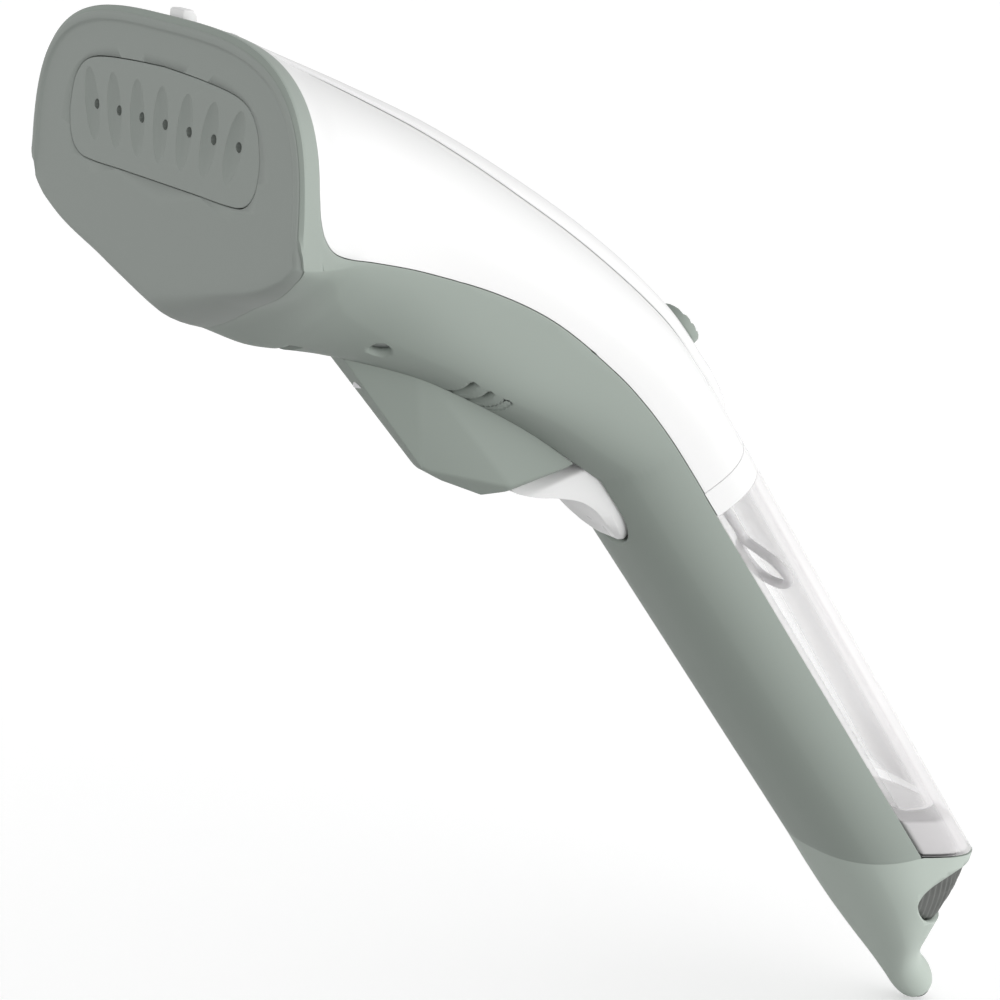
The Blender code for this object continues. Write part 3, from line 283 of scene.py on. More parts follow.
def even(path, count):
    """The same path of (rib, turn) places, split into count points at even distances on the skin."""
    spots = [skin(*place) for place in path]
    run = [0.0]
    for a, b in zip(spots, spots[1:]):
        run.append(run[-1] + (b - a).length)
    found = []
    i = 0
    for k in range(count):
        want = run[-1] * k / (count - 1)
        while i < len(run) - 2 and run[i + 1] < want:
            i += 1
        t = (want - run[i]) / max(run[i + 1] - run[i], 1e-9)
        found.append(tuple(a + (b - a) * t for a, b in zip(path[i], path[i + 1])))
    return found


def patch(side_a, side_b, front, back):
    """A grid of places filling four edges. front and back run from side_a to side_b."""
    rows = []
    for i, (a, b) in enumerate(zip(side_a, side_b)):
        s = i / (len(side_a) - 1)
        row = []
        for j, (f, g) in enumerate(zip(front, back)):
            t = j / (len(front) - 1)
            row.append(tuple(
                (1 - t) * a[k] + t * b[k] + (1 - s) * f[k] + s * g[k]
                - (1 - s) * ((1 - t) * front[0][k] + t * front[-1][k])
                - s * ((1 - t) * back[0][k] + t * back[-1][k])
                for k in (0, 1)
            ))
        rows.append(row)
    return rows


# ---------------------------------------------------------------- meshes

def make_piece(name, bm, look, sharp=38.0):
    """Turns a bmesh in millimetres into an object in metres, with its faces pointing out."""
    bmesh.ops.scale(bm, vec=(MM, MM, MM), verts=bm.verts)
    bmesh.ops.recalc_face_normals(bm, faces=bm.faces)
    mesh = bpy.data.meshes.new(name)
    bm.to_mesh(mesh)
    bm.free()
    mesh.shade_smooth()
    mesh.set_sharp_from_angle(angle=math.radians(sharp))
    piece = bpy.data.objects.new(name, mesh)
    mesh.materials.append(look)
    bpy.context.scene.collection.objects.link(piece)
    return piece


def stand_for(piece, body, slot, *nodes):
    """The piece rides on a body and stands for the CAD nodes named, which are hidden. The slot argument is not
    used.
    """
    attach(piece, body)
    if nodes:
        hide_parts(*nodes)


def loft(name, rings, look, sharp=38.0):
    """One closed skin through rings of equal length, with a flat cap at each end."""
    bm = bmesh.new()
    rows = [[bm.verts.new(point) for point in ring] for ring in rings]
    for first, second in zip(rows, rows[1:]):
        for i in range(len(first)):
            j = (i + 1) % len(first)
            bm.faces.new((first[i], first[j], second[j], second[i]))
    bm.faces.new(rows[0][::-1])
    bm.faces.new(rows[-1])
    return make_piece(name, bm, look, sharp)


def side_prism(name, outline, half_width, look):
    """A side view outline of (y, z) points, extruded along X."""
    rings = [[Vector((x, y, z)) for y, z in outline] for x in (-half_width, half_width)]
    return loft(name, rings, look)


def front_prism(name, outline, y_front, y_back, look):
    """A front view outline of (x, z) points, extruded along Y."""
    return loft(name, [[Vector((x, y, z)) for x, z in outline] for y in (y_front, y_back)], look)


def rod(name, start, end, radius, look, sides=40):
    """A straight round bar."""
    start, end = Vector(start), Vector(end)
    axis = (end - start).normalized()
    across = axis.orthogonal().normalized()
    other = axis.cross(across)
    rings = []
    for centre in (start, end):
        turns = [2 * math.pi * i / sides for i in range(sides)]
        rings.append([centre + radius * (math.cos(t) * across + math.sin(t) * other) for t in turns])
    return loft(name, rings, look)


def apply_steps(piece):
    """Replaces the mesh by what its modifiers make of it."""
    bpy.context.view_layer.update()
    graph = bpy.context.evaluated_depsgraph_get()
    result = bpy.data.meshes.new_from_object(piece.evaluated_get(graph))
    old = piece.data
    piece.modifiers.clear()
    piece.data = result
    bpy.data.meshes.remove(old)


def combine(piece, tool, operation):
    """Applies a Boolean and removes the tool."""
    step = piece.modifiers.new(operation, "BOOLEAN")
    step.operation = operation
    step.solver = "EXACT"
    step.object = tool
    apply_steps(piece)
    bpy.data.objects.remove(tool, do_unlink=True)


def cut(piece, *tools):
    for tool in tools:
        combine(piece, tool, "DIFFERENCE")


def soften(piece, width, steps=3, angle=38.0):
    """Rounds the piece's sharp edges."""
    bevel = piece.modifiers.new("rounding", "BEVEL")
    bevel.width = width * MM
    bevel.segments = steps
    bevel.limit_method = "ANGLE"
    bevel.angle_limit = math.radians(angle)
    apply_steps(piece)
    piece.data.shade_smooth()
    piece.data.set_sharp_from_angle(angle=math.radians(50.0))


def shell(name, patches, point, look):
    """A closed shell from patches of places: an outer and an inner skin joined along the open edges.

    point(place, inner) gives the position. Every patch is mirrored across the middle plane.
    """
    bm = bmesh.new()
    known = {}

    def vertex(place, inner):
        spot = point(place, inner)
        key = (inner, *(round(c, 3) for c in spot))
        if key not in known:
            known[key] = bm.verts.new(spot)
        return known[key]

    for rows in patches:
        for mirror in (1, -1):
            places = [[(rib, mirror * turn) for rib, turn in row] for row in rows]
            for first, second in zip(places, places[1:]):
                for i in range(len(first) - 1):
                    corners = (first[i], first[i + 1], second[i + 1], second[i])
                    for inner in (False, True):
                        loop = list(dict.fromkeys(vertex(place, inner) for place in corners))
                        if len(loop) > 2 and bm.faces.get(loop) is None:
                            bm.faces.new(loop)
    twin = {}
    for rows in patches:
        for row in rows:
            for rib, turn in row:
                for mirror in (1, -1):
                    place = (rib, mirror * turn)
                    twin[vertex(place, False)] = vertex(place, True)
    for edge in [e for e in bm.edges if len(e.link_faces) == 1]:
        a, b = edge.verts
        if a in twin and b in twin:
            bm.faces.new((a, b, twin[b], twin[a]))
    return make_piece(name, bm, look)


# ---------------------------------------------------------------- materials

def feed(made, **values):
    """Fills a node's inputs and properties: a socket is linked, any other value is put in as it is."""
    for name, value in values.items():
        socket = name.replace("_", " ")
        if isinstance(value, bpy.types.NodeSocket):
            made.id_data.links.new(value, made.inputs[socket])
        elif hasattr(made, name):
            setattr(made, name, value)
        else:
            made.inputs[socket].default_value = value
    return made


def node(tree, kind, **values):
    return feed(tree.nodes.new(kind), **values)


def new_look(name):
    """A material with its node tree and its shader node."""
    made = bpy.data.materials.new(name)
    made.use_nodes = True
    return made, made.node_tree, made.node_tree.nodes["Principled BSDF"]


def shade(colour, factor, lift=0.0):
    """A colour made lighter or darker."""
    return (*(min(1.0, c * factor + lift) for c in colour), 1.0)


def noise(tree, place, scale, detail, roughness):
    made = node(tree, "ShaderNodeTexNoise", Vector=place, Scale=scale, Detail=detail, Roughness=roughness)
    return made.outputs["Fac"]


GRAIN_SIZE = 0.45               # of the moulded grain, in millimetres


def plastic(name, colour, roughness, coat=0.0, shine=0.5, grain=0.012, mottle=0.03, wear=0.06):
    """Moulded plastic: a fine spark-eroded grain, faint flow marks, slightly lighter rubbed edges."""
    made, tree, shader = new_look(name)
    place = node(tree, "ShaderNodeTexCoord").outputs["Object"]

    flow = node(tree, "ShaderNodeMapping", Vector=place, Scale=(1.0, 0.35, 0.6)).outputs[0]
    cloud = noise(tree, flow, 34.0, 4.0, 0.55)
    tint = node(tree, "ShaderNodeMix", data_type="RGBA", Factor=cloud,
                A=shade(colour, 1 - mottle), B=shade(colour, 1 + mottle))
    edges = node(tree, "ShaderNodeMapRange", From_Min=0.53, From_Max=0.62, To_Max=wear,
                 Value=node(tree, "ShaderNodeNewGeometry").outputs["Pointiness"])
    rubbed = node(tree, "ShaderNodeMix", data_type="RGBA", Factor=edges.outputs["Result"],
                  A=tint.outputs["Result"], B=shade(colour, 1.25, lift=0.03))

    fine = noise(tree, place, 1000.0 / GRAIN_SIZE, 3.0, 0.6)
    gloss = node(tree, "ShaderNodeMapRange", Value=cloud, From_Min=0.3, From_Max=0.7,
                 To_Min=roughness - 0.035, To_Max=roughness + 0.035)
    bump = node(tree, "ShaderNodeBump", Strength=0.35, Distance=grain * MM, Height=fine)
    feed(shader, IOR=1.5, Specular_IOR_Level=shine, Coat_Weight=coat, Coat_Roughness=0.12)
    feed(shader, Base_Color=rubbed.outputs["Result"], Roughness=gloss.outputs["Result"],
         Normal=bump.outputs["Normal"])
    return made


def clear_plastic(name, colour, edge_alpha):
    """Clear plastic: invisible face on, more solid towards its edges."""
    made = plastic(name, colour, 0.16, shine=0.25, grain=0.0, mottle=0.004, wear=0.0)
    tree = made.node_tree
    facing = node(tree, "ShaderNodeLayerWeight", Blend=0.5).outputs["Facing"]
    solid = node(tree, "ShaderNodeMapRange", interpolation_type="SMOOTHSTEP", Value=facing,
                 From_Min=0.38, From_Max=0.62, To_Min=0.0, To_Max=edge_alpha)
    feed(tree.nodes["Principled BSDF"], Alpha=solid.outputs["Result"])
    return made


def metal(name, colour, roughness, brushed):
    """Metal with a drawn or cast grain, stretched along Y when brushed."""
    made, tree, shader = new_look(name)
    place = node(tree, "ShaderNodeTexCoord").outputs["Object"]
    stretch = node(tree, "ShaderNodeMapping", Vector=place, Scale=(1.0, 0.05 if brushed else 1.0, 1.0))
    grain = noise(tree, stretch.outputs[0], 900.0, 5.0, 0.6)
    tint = node(tree, "ShaderNodeMix", data_type="RGBA", Factor=grain,
                A=shade(colour, 0.82), B=shade(colour, 1.0))
    rough = node(tree, "ShaderNodeMapRange", Value=grain, To_Min=roughness - 0.08, To_Max=roughness + 0.12)
    bump = node(tree, "ShaderNodeBump", Strength=0.4, Distance=0.02 * MM, Height=grain)
    feed(shader, Metallic=1.0, Base_Color=tint.outputs["Result"], Roughness=rough.outputs["Result"],
         Normal=bump.outputs["Normal"])
    return made


SAGE = plastic("sage_plastic", (0.272, 0.306, 0.278), 0.5, shine=0.12)
# Painted light: a slightly lighter copy of the sage for the face plate and the steam insert, lifting the face
# that turns from the light.
SAGE_FACE_PAINTED_LIGHT = plastic("sage_face_painted_light", (0.285, 0.31, 0.29), 0.5, shine=0.12)
# Painted light: a lighter copy of the sage for the tail, standing in for the stronger light on the tail's side.
SAGE_TAIL_PAINTED_LIGHT = plastic("sage_tail_painted_light", (0.40, 0.448, 0.408), 0.5, shine=0.12)
WHITE = plastic("white_plastic", (0.70, 0.70, 0.698), 0.3, coat=0.2, mottle=0.01)
GRILLE = plastic("grille_plastic", (0.115, 0.12, 0.113), 0.5, grain=0.03)
RUBBER = plastic("rubber_grey", (0.5, 0.495, 0.5), 0.65, grain=0.02)
DARK = plastic("dark_plastic", (0.035, 0.037, 0.035), 0.5, grain=0.03)
SILICONE = plastic("silicone_red", (0.42, 0.12, 0.07), 0.55, grain=0.02)
BOARD = plastic("board_green", (0.02, 0.11, 0.045), 0.4, mottle=0.15, grain=0.02)
# Painted light: a far brighter white than WHITE for the handle liner, standing in for the light that reaches it
# through the clear tank.
LINER_PAINTED_LIGHT = plastic("liner_white_painted_light", (0.97, 0.965, 0.967), 0.5, mottle=0.005)
CLEAR = clear_plastic("tank_clear", (0.86, 0.845, 0.85), edge_alpha=0.45)
CLEAR_BASE = plastic("tank_base_clear", (0.47, 0.46, 0.465), 0.25, shine=0.25, mottle=0.01, wear=0.0)
ALUMINIUM = metal("aluminium_cast", (0.72, 0.73, 0.74), 0.42, brushed=False)
STEEL = metal("steel_drawn", (0.55, 0.55, 0.56), 0.3, brushed=True)

SLOT_LOOKS = {
    "sage": SAGE, "white": WHITE, "clear": CLEAR, "grey_rubber": RUBBER, "dark_grey": DARK,
    "silicone": SILICONE, "aluminium": ALUMINIUM, "steel": STEEL, "green_board": BOARD,
}


def dress_cad_nodes():
    """Every CAD node that stays in view gets the detailed material of its slot, except the handle liner, which
    gets a far brighter white: painted light for the light that reaches it through the clear tank.
    """
    for entry in frame["record"]["subparts"]:
        mesh = frame["nodes"][entry["node"]].data
        mesh.materials.clear()
        liner = entry["node"] == "handle_liner"
        mesh.materials.append(LINER_PAINTED_LIGHT if liner else SLOT_LOOKS[entry["material_slot"]])


# ---------------------------------------------------------------- shells

RIM_Y = 0.3                     # where the band's front rim lies
RIM_ROUNDING = 1.1
CREASE = (-1.0, 3.0, 0.45)      # height where the chin's crease starts, its y there, how much it slants back
CHIN_INSET = 1.8                # how far the crease lies inside the ribs' skin


def chin_share(z):
    """0 along the top and sides of the face, 1 along its V-shaped chin."""
    return 1 - smoothstep(CREASE[0], CREASE[0] + 9.0, z)


def rim_depth(z):
    """The y of the edge between plate and housing: level round the band, slanting back along the chin."""
    start, depth, slant = CREASE
    return RIM_Y + (depth - RIM_Y) * chin_share(z) + slant * max(0.0, start - z)


def front_edge(turn):
    """Where along the body the sage housing begins behind the face plate."""
    def before(rib):
        spot = skin(rib, turn)
        return spot.y < rim_depth(spot.z)

    return turning_place(0.0, 2.6, before)


def chin_inset(spot):
    """How far the chin is drawn in at a point of the ribs' skin, fading out along the neck."""
    low = (1 - smoothstep(-8.0, 2.0, spot.z)) * (1 - smoothstep(25.0, 44.0, abs(spot.x)))
    return CHIN_INSET * low * (1 - smoothstep(9.0, 24.0, spot.y))


def seam_places(shift):
    """The side seam, from the top of the band to the collar, moved by shift in y and z."""
    corners = list(NECK_SEAM) + [tuple(handle(*place).yz) for place in HANDLE_SEAM]
    curve = Track([(y, z, 0.0) for y, z in corners])
    return [skin_place(y + shift, z + shift) for y, z, _ in curve.points(8)]


CORNER = 12                     # index of the seam point where the band's edge turns into the side seam


def band_edge(shift, corner):
    """The edge of the band over the top of the head, from the ridge to the corner."""
    y = BAND_DEPTH + shift
    seam = seam_places(shift)[:corner + 1]
    top_turn = seam[0][1]
    return [(rib_at_y(turn, y), turn) for turn in spaced(0.0, top_turn, 60)[:-1]] + seam


def housing_point(place, inner):
    """A point of the sage housing, with its front rim rounded and its chin drawn in."""
    rib, turn = place
    spot = skin(rib, turn)
    inset = chin_inset(spot) if rib < 4 else 0.0
    if inner:
        return skin(rib, turn, -WALL - inset)
    rest = min(RIM_ROUNDING, RIM_Y + RIM_ROUNDING - spot.y)
    if rest > 0:
        inset += RIM_ROUNDING - math.sqrt(RIM_ROUNDING**2 - rest**2)
    return skin(rib, turn, -inset) if inset else spot


def upper_housing():
    """The white upper shell: from the band over the neck to the collar."""
    seam = seam_places(0.0)[CORNER:]
    tank_turn = seam[-1][1]
    start, end = rib_at_y(0.0, BAND_DEPTH), rib_in_cut(0.0, COLLAR_TOP, COLLAR_SLANT, COLLAR_SLANT)
    ridge = [(rib, 0.0) for rib in spaced(start, end, 200)]
    collar = [(rib_in_cut(turn, COLLAR_TOP, COLLAR_SLANT, COLLAR_SLANT), turn)
              for turn in spaced(0.0, tank_turn, 40)]
    rows = patch(even(ridge, 170), even(seam, 170), even(band_edge(0.0, CORNER), 46), even(collar, 46))
    piece = shell("white_upper_housing", [rows], lambda place, inner: skin(*place, -WALL if inner else 0.0),
                  WHITE)
    soften(piece, EDGE)
    cut(piece, slider_slot())
    stand_for(piece, "root", "white", "upper_housing")


def lower_housing():
    """The sage lower shell with its band round the face."""
    shift = -SEAM_GAP
    seam = seam_places(shift)[CORNER:]
    corner_rib, corner_turn = seam[0]
    tank_turn = side_turn(SIDE_SEAM + 2 * SEAM_GAP)
    seam = seam[:-1]
    tail_side = rib_in_cut(tank_turn, TAIL_SEAM, TAIL_FRONT_SLANT, TAIL_FRONT_SLANT)
    seam += [(rib, tank_turn) for rib in spaced(seam[-1][0], tail_side, 60)[1:]]
    neck = even([(front_edge(corner_turn), corner_turn), (corner_rib, corner_turn)], 12)
    side = neck[:-1] + even(seam, 190)
    belly_start = front_edge(math.pi)
    belly_end = rib_in_cut(math.pi, TAIL_SEAM, TAIL_FRONT_SLANT, TAIL_FRONT_SLANT)
    belly = [(rib, math.pi) for rib in spaced(belly_start, belly_end, 300)]
    front = [(front_edge(turn), turn) for turn in spaced(corner_turn, math.pi, 80)]
    tail = [(rib_in_cut(turn, TAIL_SEAM - SEAM_GAP, TAIL_FRONT_SLANT, TAIL_FRONT_SLANT), turn)
            for turn in spaced(tank_turn, math.pi, 80)]
    under = patch(side, even(belly, len(side)), even(front, 64), even(tail, 64))

    rim = [(front_edge(turn), turn) for turn in spaced(0.0, corner_turn, 60)]
    ridge = even([rim[0], (rib_at_y(0.0, BAND_DEPTH + shift), 0.0)], 12)
    band = patch(ridge, neck, even(rim, 56), even(band_edge(shift, CORNER), 56))

    piece = shell("sage_lower_housing", [under, band], housing_point, SAGE)
    soften(piece, EDGE)
    cut(piece, trigger_slot(), chin_slot(), catch_slot(20.0, CATCH_ROOM, SAGE))
    for side in (-1, 1):
        head, away = neck_screw_place(side)
        cut(piece, rod("screw_hole", head - 8 * away, head + 8 * away, 2.3, SAGE, sides=32))
        for number in range(3):
            cut(piece, vent_slot(VENT_Y + VENT_PITCH * number, side))
    stand_for(piece, "root", "sage", "lower_housing")


def neck_screw_place(side):
    """The middle of a neck screw's head, and the direction it faces."""
    x, y, z = NECK_SCREW
    return Vector((side * x, y, z)), Vector((side * 0.35, -0.25, -1.0)).normalized()


def rounded_slot(half_length, half_width, steps=12):
    """A slot with round ends, long in the first coordinate."""
    points = []
    for centre, start in ((half_length - half_width, -90), (half_width - half_length, 90)):
        for i in range(steps + 1):
            turn = math.radians(start + 180 * i / steps)
            points.append((centre + half_width * math.cos(turn), half_width * math.sin(turn)))
    return points


def rounded_rectangle(half_width, low, high, radius, steps=6):
    points = []
    for cx, cz, start in (
        (half_width - radius, high - radius, 0), (-half_width + radius, high - radius, 90),
        (-half_width + radius, low + radius, 180), (half_width - radius, low + radius, 270),
    ):
        for i in range(steps + 1):
            turn = math.radians(start + 90 * i / steps)
            points.append((cx + radius * math.cos(turn), cz + radius * math.sin(turn)))
    return points


def vent_slot(y, side):
    """One of the slots beside the guard, running across the belly."""
    z = -32.0 - 0.4 * (y - VENT_Y)
    rings = []
    for height in (-8.0, 6.0):
        rings.append([Vector((side * 13.6 + x, y + a, z + height)) for x, a in rounded_slot(4.8, 0.95)])
    return loft("vent", rings, SAGE)


def trigger_slot():
    """The opening that the trigger swings into, round at its lower end."""
    half, foot, round_length = 8.9, 145.2, 12.2
    outline = [(-half, 98.0), (half, 98.0)]
    for i in range(33):
        turn = math.pi * i / 32
        outline.append((half * math.cos(turn), foot - round_length * (1 - math.sin(turn))))
    rings = [[handle(down, depth, x) for x, down in outline] for depth in (7.0, 40.0)]
    return loft("trigger_slot", rings, SAGE)


def chin_slot():
    """The narrow slot across the chin."""
    return front_prism("chin_slot", rounded_rectangle(8.0, -34.0, -14.0, 1.0), 27.0, 30.0, SAGE)


def catch_slot(low, depth_behind, look):
    """Room for the accessory catch, from a height upwards and as far back as asked."""
    front, back = CATCH_DEPTHS
    outline = rounded_rectangle(2.9, low, 60.0, 0.5)
    return front_prism("catch_slot", outline, front - CATCH_ROOM, back + depth_behind, look)


# ---------------------------------------------------------------- face

def insert_outline(grow=0.0):
    """The steam insert seen from the front: arched top, straight foot, round corners."""
    corners = (
        (0.0, 10.7), (14.0, 10.2), (26.0, 9.2), (31.2, 7.6), (34.4, 4.4), (35.8, 0.0), (36.0, -3.0),
        (35.2, -6.6), (32.8, -9.4), (28.6, -10.6), (14.0, -10.65), (0.0, -10.65),
    )
    curve = Track([(x, z, 0.0) for x, z in corners])
    wide, tall = 1 + grow / 36.0, 1 + grow / 10.65
    right = [(x * wide, STEAM_ROW_Z + z * tall) for x, z, _ in curve.points(10)]
    return right + [(-x, z) for x, z in reversed(right[1:-1])]


FACE_Y = 0.5                    # the plate's flat lies a little behind its raised rim
PLATE_THICK = 2.4
INSERT_GAP = 0.2                # between the insert and the pocket in the plate
# The plate's rim along the top and sides, as (distance inside the body's outline, y), from the flat outward.
PLATE_RIM = (
    (3.9, FACE_Y), (3.45, FACE_Y - 0.03), (3.2, 0.3), (3.0, 0.07), (2.75, 0.0), (2.2, 0.0), (1.8, 0.04),
    (1.55, 0.13), (1.42, 0.27),
)
CHIN_REACH = 0.62               # height of the chin's soft roll as a share of its depth
CHIN_TURN = math.radians(62.0)  # how far the roll turns before it meets the crease


def face_plate():
    """The sage sole plate: a flat in a raised rim, rolling back softly along the chin to the crease."""
    count = 288
    turns = [2 * math.pi * (i + 0.5) / count for i in range(count)]
    turns = [turn if turn < math.pi else turn - 2 * math.pi for turn in turns]
    rim = []
    for turn in turns:
        rib = front_edge(abs(turn))
        rim.append(skin(rib, turn, -chin_inset(skin(rib, turn))))
    centre = Vector((0.0, 0.0, 13.0))
    columns = []
    for i, edge in enumerate(rim):
        share = chin_share(edge.z)
        tangent = rim[(i + 1) % count] - rim[i - 1]
        normal = Vector((tangent.z, 0.0, -tangent.x)).normalized()
        inward = Vector((centre.x - edge.x, 0.0, centre.z - edge.z)).normalized()
        normal = normal if normal.dot(inward) > 0 else -normal
        inward = normal.lerp(inward, 1 - smoothstep(3.0, 16.0, edge.z)).normalized()
        flat_edge = Vector((edge.x, 0.0, edge.z))
        reach = CHIN_REACH * (edge.y - FACE_Y)
        column = []
        for k, (inset, depth) in enumerate(PLATE_RIM):
            turned = CHIN_TURN * k / (len(PLATE_RIM) - 1)
            risen = math.sin(turned) / math.sin(CHIN_TURN)
            sunk = (1 - math.cos(turned)) / (1 - math.cos(CHIN_TURN))
            away = inset + (reach * (1 - risen) - inset) * share
            level = depth + (edge.y - RIM_Y) * (k / (len(PLATE_RIM) - 1)) ** 3
            y = level + (FACE_Y + (edge.y - 0.1 - FACE_Y) * sunk - level) * share
            column.append(flat_edge + away * inward + Vector((0.0, y, 0.0)))
        middle = Vector((centre.x, FACE_Y, centre.z))
        flat = [middle.lerp(column[0], k / 12) for k in (1, 4, 7, 9, 10, 11)]
        lip = column[-1] + 0.9 * inward + Vector((0.0, 0.02, 0.0))
        turned_in = lip + 0.3 * inward + Vector((0.0, 0.05 + 2.0 * (1 - share), 0.0))
        front = (column[2], column[0], *flat[::-1])
        back = [lip, turned_in] + [spot + Vector((0.0, PLATE_THICK, 0.0)) for spot in front]
        columns.append(flat + column + back)
    # The plate uses the lighter sage copy, which is painted light on the face.
    plate = loft("sage_face_plate", [list(ring) for ring in zip(*columns)], SAGE_FACE_PAINTED_LIGHT)
    cut(plate, front_prism("pocket", insert_outline(INSERT_GAP), -1.0, 9.0, SAGE_FACE_PAINTED_LIGHT))
    cut(plate, catch_slot(33.0, 4.4, SAGE_FACE_PAINTED_LIGHT))
    stand_for(plate, "root", "sage", "face_plate")


def steam_insert():
    """The flush insert with its fan of lens-shaped dimples and a steam hole in each."""
    # The insert also uses the lighter sage copy, which is painted light on the face.
    insert = front_prism("sage_steam_insert", insert_outline(), FACE_Y, 3.9, SAGE_FACE_PAINTED_LIGHT)
    soften(insert, 0.18, steps=2)
    for i in range(HOLES):
        x = HOLE_PITCH * (i - (HOLES - 1) / 2)
        lean = math.atan2(x * 0.17, 13.0)
        lens = bmesh.new()
        bmesh.ops.create_uvsphere(lens, u_segments=56, v_segments=40, radius=1.0)
        shape = Matrix.Translation((x, FACE_Y - 0.6, STEAM_ROW_Z)) @ Matrix.Rotation(lean, 4, "Y")
        shape = shape @ Matrix.Diagonal((3.0, 1.7, 7.7, 1.0))
        bmesh.ops.transform(lens, matrix=shape, verts=lens.verts)
        cut(insert, make_piece("dimple", lens, SAGE_FACE_PAINTED_LIGHT))
        cut(insert, rod("hole", (x, -1.0, STEAM_ROW_Z), (x, 3.2, STEAM_ROW_Z), 1.0, SAGE_FACE_PAINTED_LIGHT, sides=28))
    insert.data.set_sharp_from_angle(angle=math.radians(12.0))
    stand_for(insert, "root", "sage", "steam_insert")


def accessory_catch():
    """The small tab on top of the head."""
    front, back = CATCH_DEPTHS
    outline = [(front, 34.0), (back, 34.0), (back, 40.6), (back - 0.9, 41.6), (front + 0.3, 41.6),
               (front, 41.2)]
    tab = side_prism("white_accessory_catch", outline, 2.5, WHITE)
    soften(tab, 0.35)
    stand_for(tab, "root", "white", "accessory_catch")


# ---------------------------------------------------------------- spine and slider

SLIDER = {"half_length": 5.5, "travel": 4.0, "foot_half_length": 2.6, "foot_half_width": 2.4, "height": 3.3}
SLIDER_DOWN = 143.6             # along the ridge from the face to the middle of the slider
SPINE_HALF_WIDTH = 10.6
SPINE_END = 138.6               # how far down the handle the spine cover ends


def ridge_rows(steps=14):
    """The ridge from the face to the collar: (ridge, up, middle, half width, reach, power) of each rib."""
    rows = []
    for i in range(steps * JOINT_RIB + 1):
        ridge_y, ridge_z, belly_y, belly_z, share, half_width, upper, _ = BODY.at(i / steps)
        ridge, belly = Vector((0.0, ridge_y, ridge_z)), Vector((0.0, belly_y, belly_z))
        middle = ridge.lerp(belly, share)
        rows.append((ridge, (ridge - belly).normalized(), middle, half_width, (ridge - middle).length, upper))
    up = rows[-1][1]
    for i in range(1, 25):
        down = HANDLE_TOP[0] + (SPINE_END - HANDLE_TOP[0]) * i / 24
        level, _ = handle_depth(0.0, down)
        rows.append((handle(down, level), up, handle(down, 0.0), HANDLE_HALF_WIDTH, -level, HANDLE_POWER))
    return rows


def spine_width(share):
    """Half width of the spine cover: narrow in front, then wide, with a round rear end."""
    front = 0.48 + 0.52 * min(1.0, share * 2.2)
    rear = math.sqrt(max(0.0, 1 - max(0.0, (share - 0.90) / 0.104) ** 2))
    return SPINE_HALF_WIDTH * front * max(rear, 0.12)


def spine_cover():
    """The raised white strip along the ridge, flush at the head and proud at its round rear end."""
    rows = [row for row in ridge_rows() if row[0].y > 13.0]
    length = sum((b[0] - a[0]).length for a, b in zip(rows, rows[1:]))
    rings = []
    travelled = 0.0
    across = [math.sin(math.pi / 2 * k / 12) for k in range(-12, 13)]
    for i, (ridge, up, middle, half_width, reach, power) in enumerate(rows):
        travelled += (ridge - rows[max(i - 1, 0)][0]).length
        share = travelled / length
        ending = math.sqrt(max(0.05, 1 - smoothstep(0.97, 1.0, share) ** 2))
        height = (0.8 + 2.0 * min(1.0, share * 1.5)) * ending
        wide = spine_width(share)
        low, high = [], []
        for k in across:
            x = wide * k
            body = reach * (1 - (abs(x) / half_width) ** power) ** (1 / power)
            edge = abs(k) ** 6
            low.append(middle + (body + 0.1) * up + Vector((x, 0, 0)))
            high.append(middle + (body + 0.3 + height * (1 - edge) + 0.45 * edge) * up + Vector((x, 0, 0)))
        rings.append(low + high[::-1])
    cover = loft("white_spine_cover", rings, WHITE)
    soften(cover, 0.2)
    cut(cover, slider_slot())
    stand_for(cover, "root", "white", "spine_cover")


def slider_frame():
    """The middle of the slider on the ridge, the direction towards the tail and the direction out."""
    rows = ridge_rows(3)
    track = [row[0] for row in rows]
    place = 0.0
    for first, second in zip(track, track[1:]):
        step = (second - first).length
        if place + step >= SLIDER_DOWN:
            along = (second - first).normalized()
            spot = first.lerp(second, (SLIDER_DOWN - place) / step)
            return spot, along, Vector((1, 0, 0)).cross(along).normalized()
        place += step
    raise ValueError("past the end of the ridge")


def slider_block(name, half_length, half_width, low, high, look, shift=0.0):
    """A block with round ends on the ridge, between two heights above it."""
    point, along, out = slider_frame()
    outline = rounded_slot(half_length, half_width)
    rings = []
    for height in (low, high):
        centre = point + height * out + shift * along
        rings.append([centre + a * along + Vector((x, 0.0, 0.0)) for a, x in outline])
    return loft(name, rings, look)


def slider_slot():
    """The slot that the slider's foot moves in."""
    half = SLIDER["foot_half_length"] + SLIDER["travel"] / 2 + 0.6
    return slider_block("slot", half, SLIDER["foot_half_width"] + 0.5, -8.0, 8.0, WHITE, SLIDER["travel"] / 2)


def mode_slider():
    """The sage thumb slider: soft edges, with scallops across it for grip."""
    height = SLIDER["height"]
    slider = slider_block("sage_mode_slider", SLIDER["half_length"], 5.0, height, height + 2.6, SAGE)
    soften(slider, 0.7, steps=4)
    half_length, half_width = SLIDER["foot_half_length"], SLIDER["foot_half_width"]
    foot = slider_block("foot", half_length, half_width, -3.4, height + 0.5, SAGE)
    combine(slider, foot, "UNION")
    point, along, out = slider_frame()
    for step in (-3.3, -0.9, 1.5, 3.9):
        start = point + (height + 3.1) * out + (step - 0.3) * along
        cut(slider, rod("groove", start - Vector((8, 0, 0)), start + Vector((8, 0, 0)), 0.95, SAGE))
    slider.data.set_sharp_from_angle(angle=math.radians(30.0))
    stand_for(slider, "slider", "sage", "mode_slider")


# ---------------------------------------------------------------- trigger and guard

# The guard's rear edge lies this far down the handle where it meets the body, and leans forwards below that.
GUARD_REAR = (117.0, 19.0)
GUARD_LEAN = 0.32
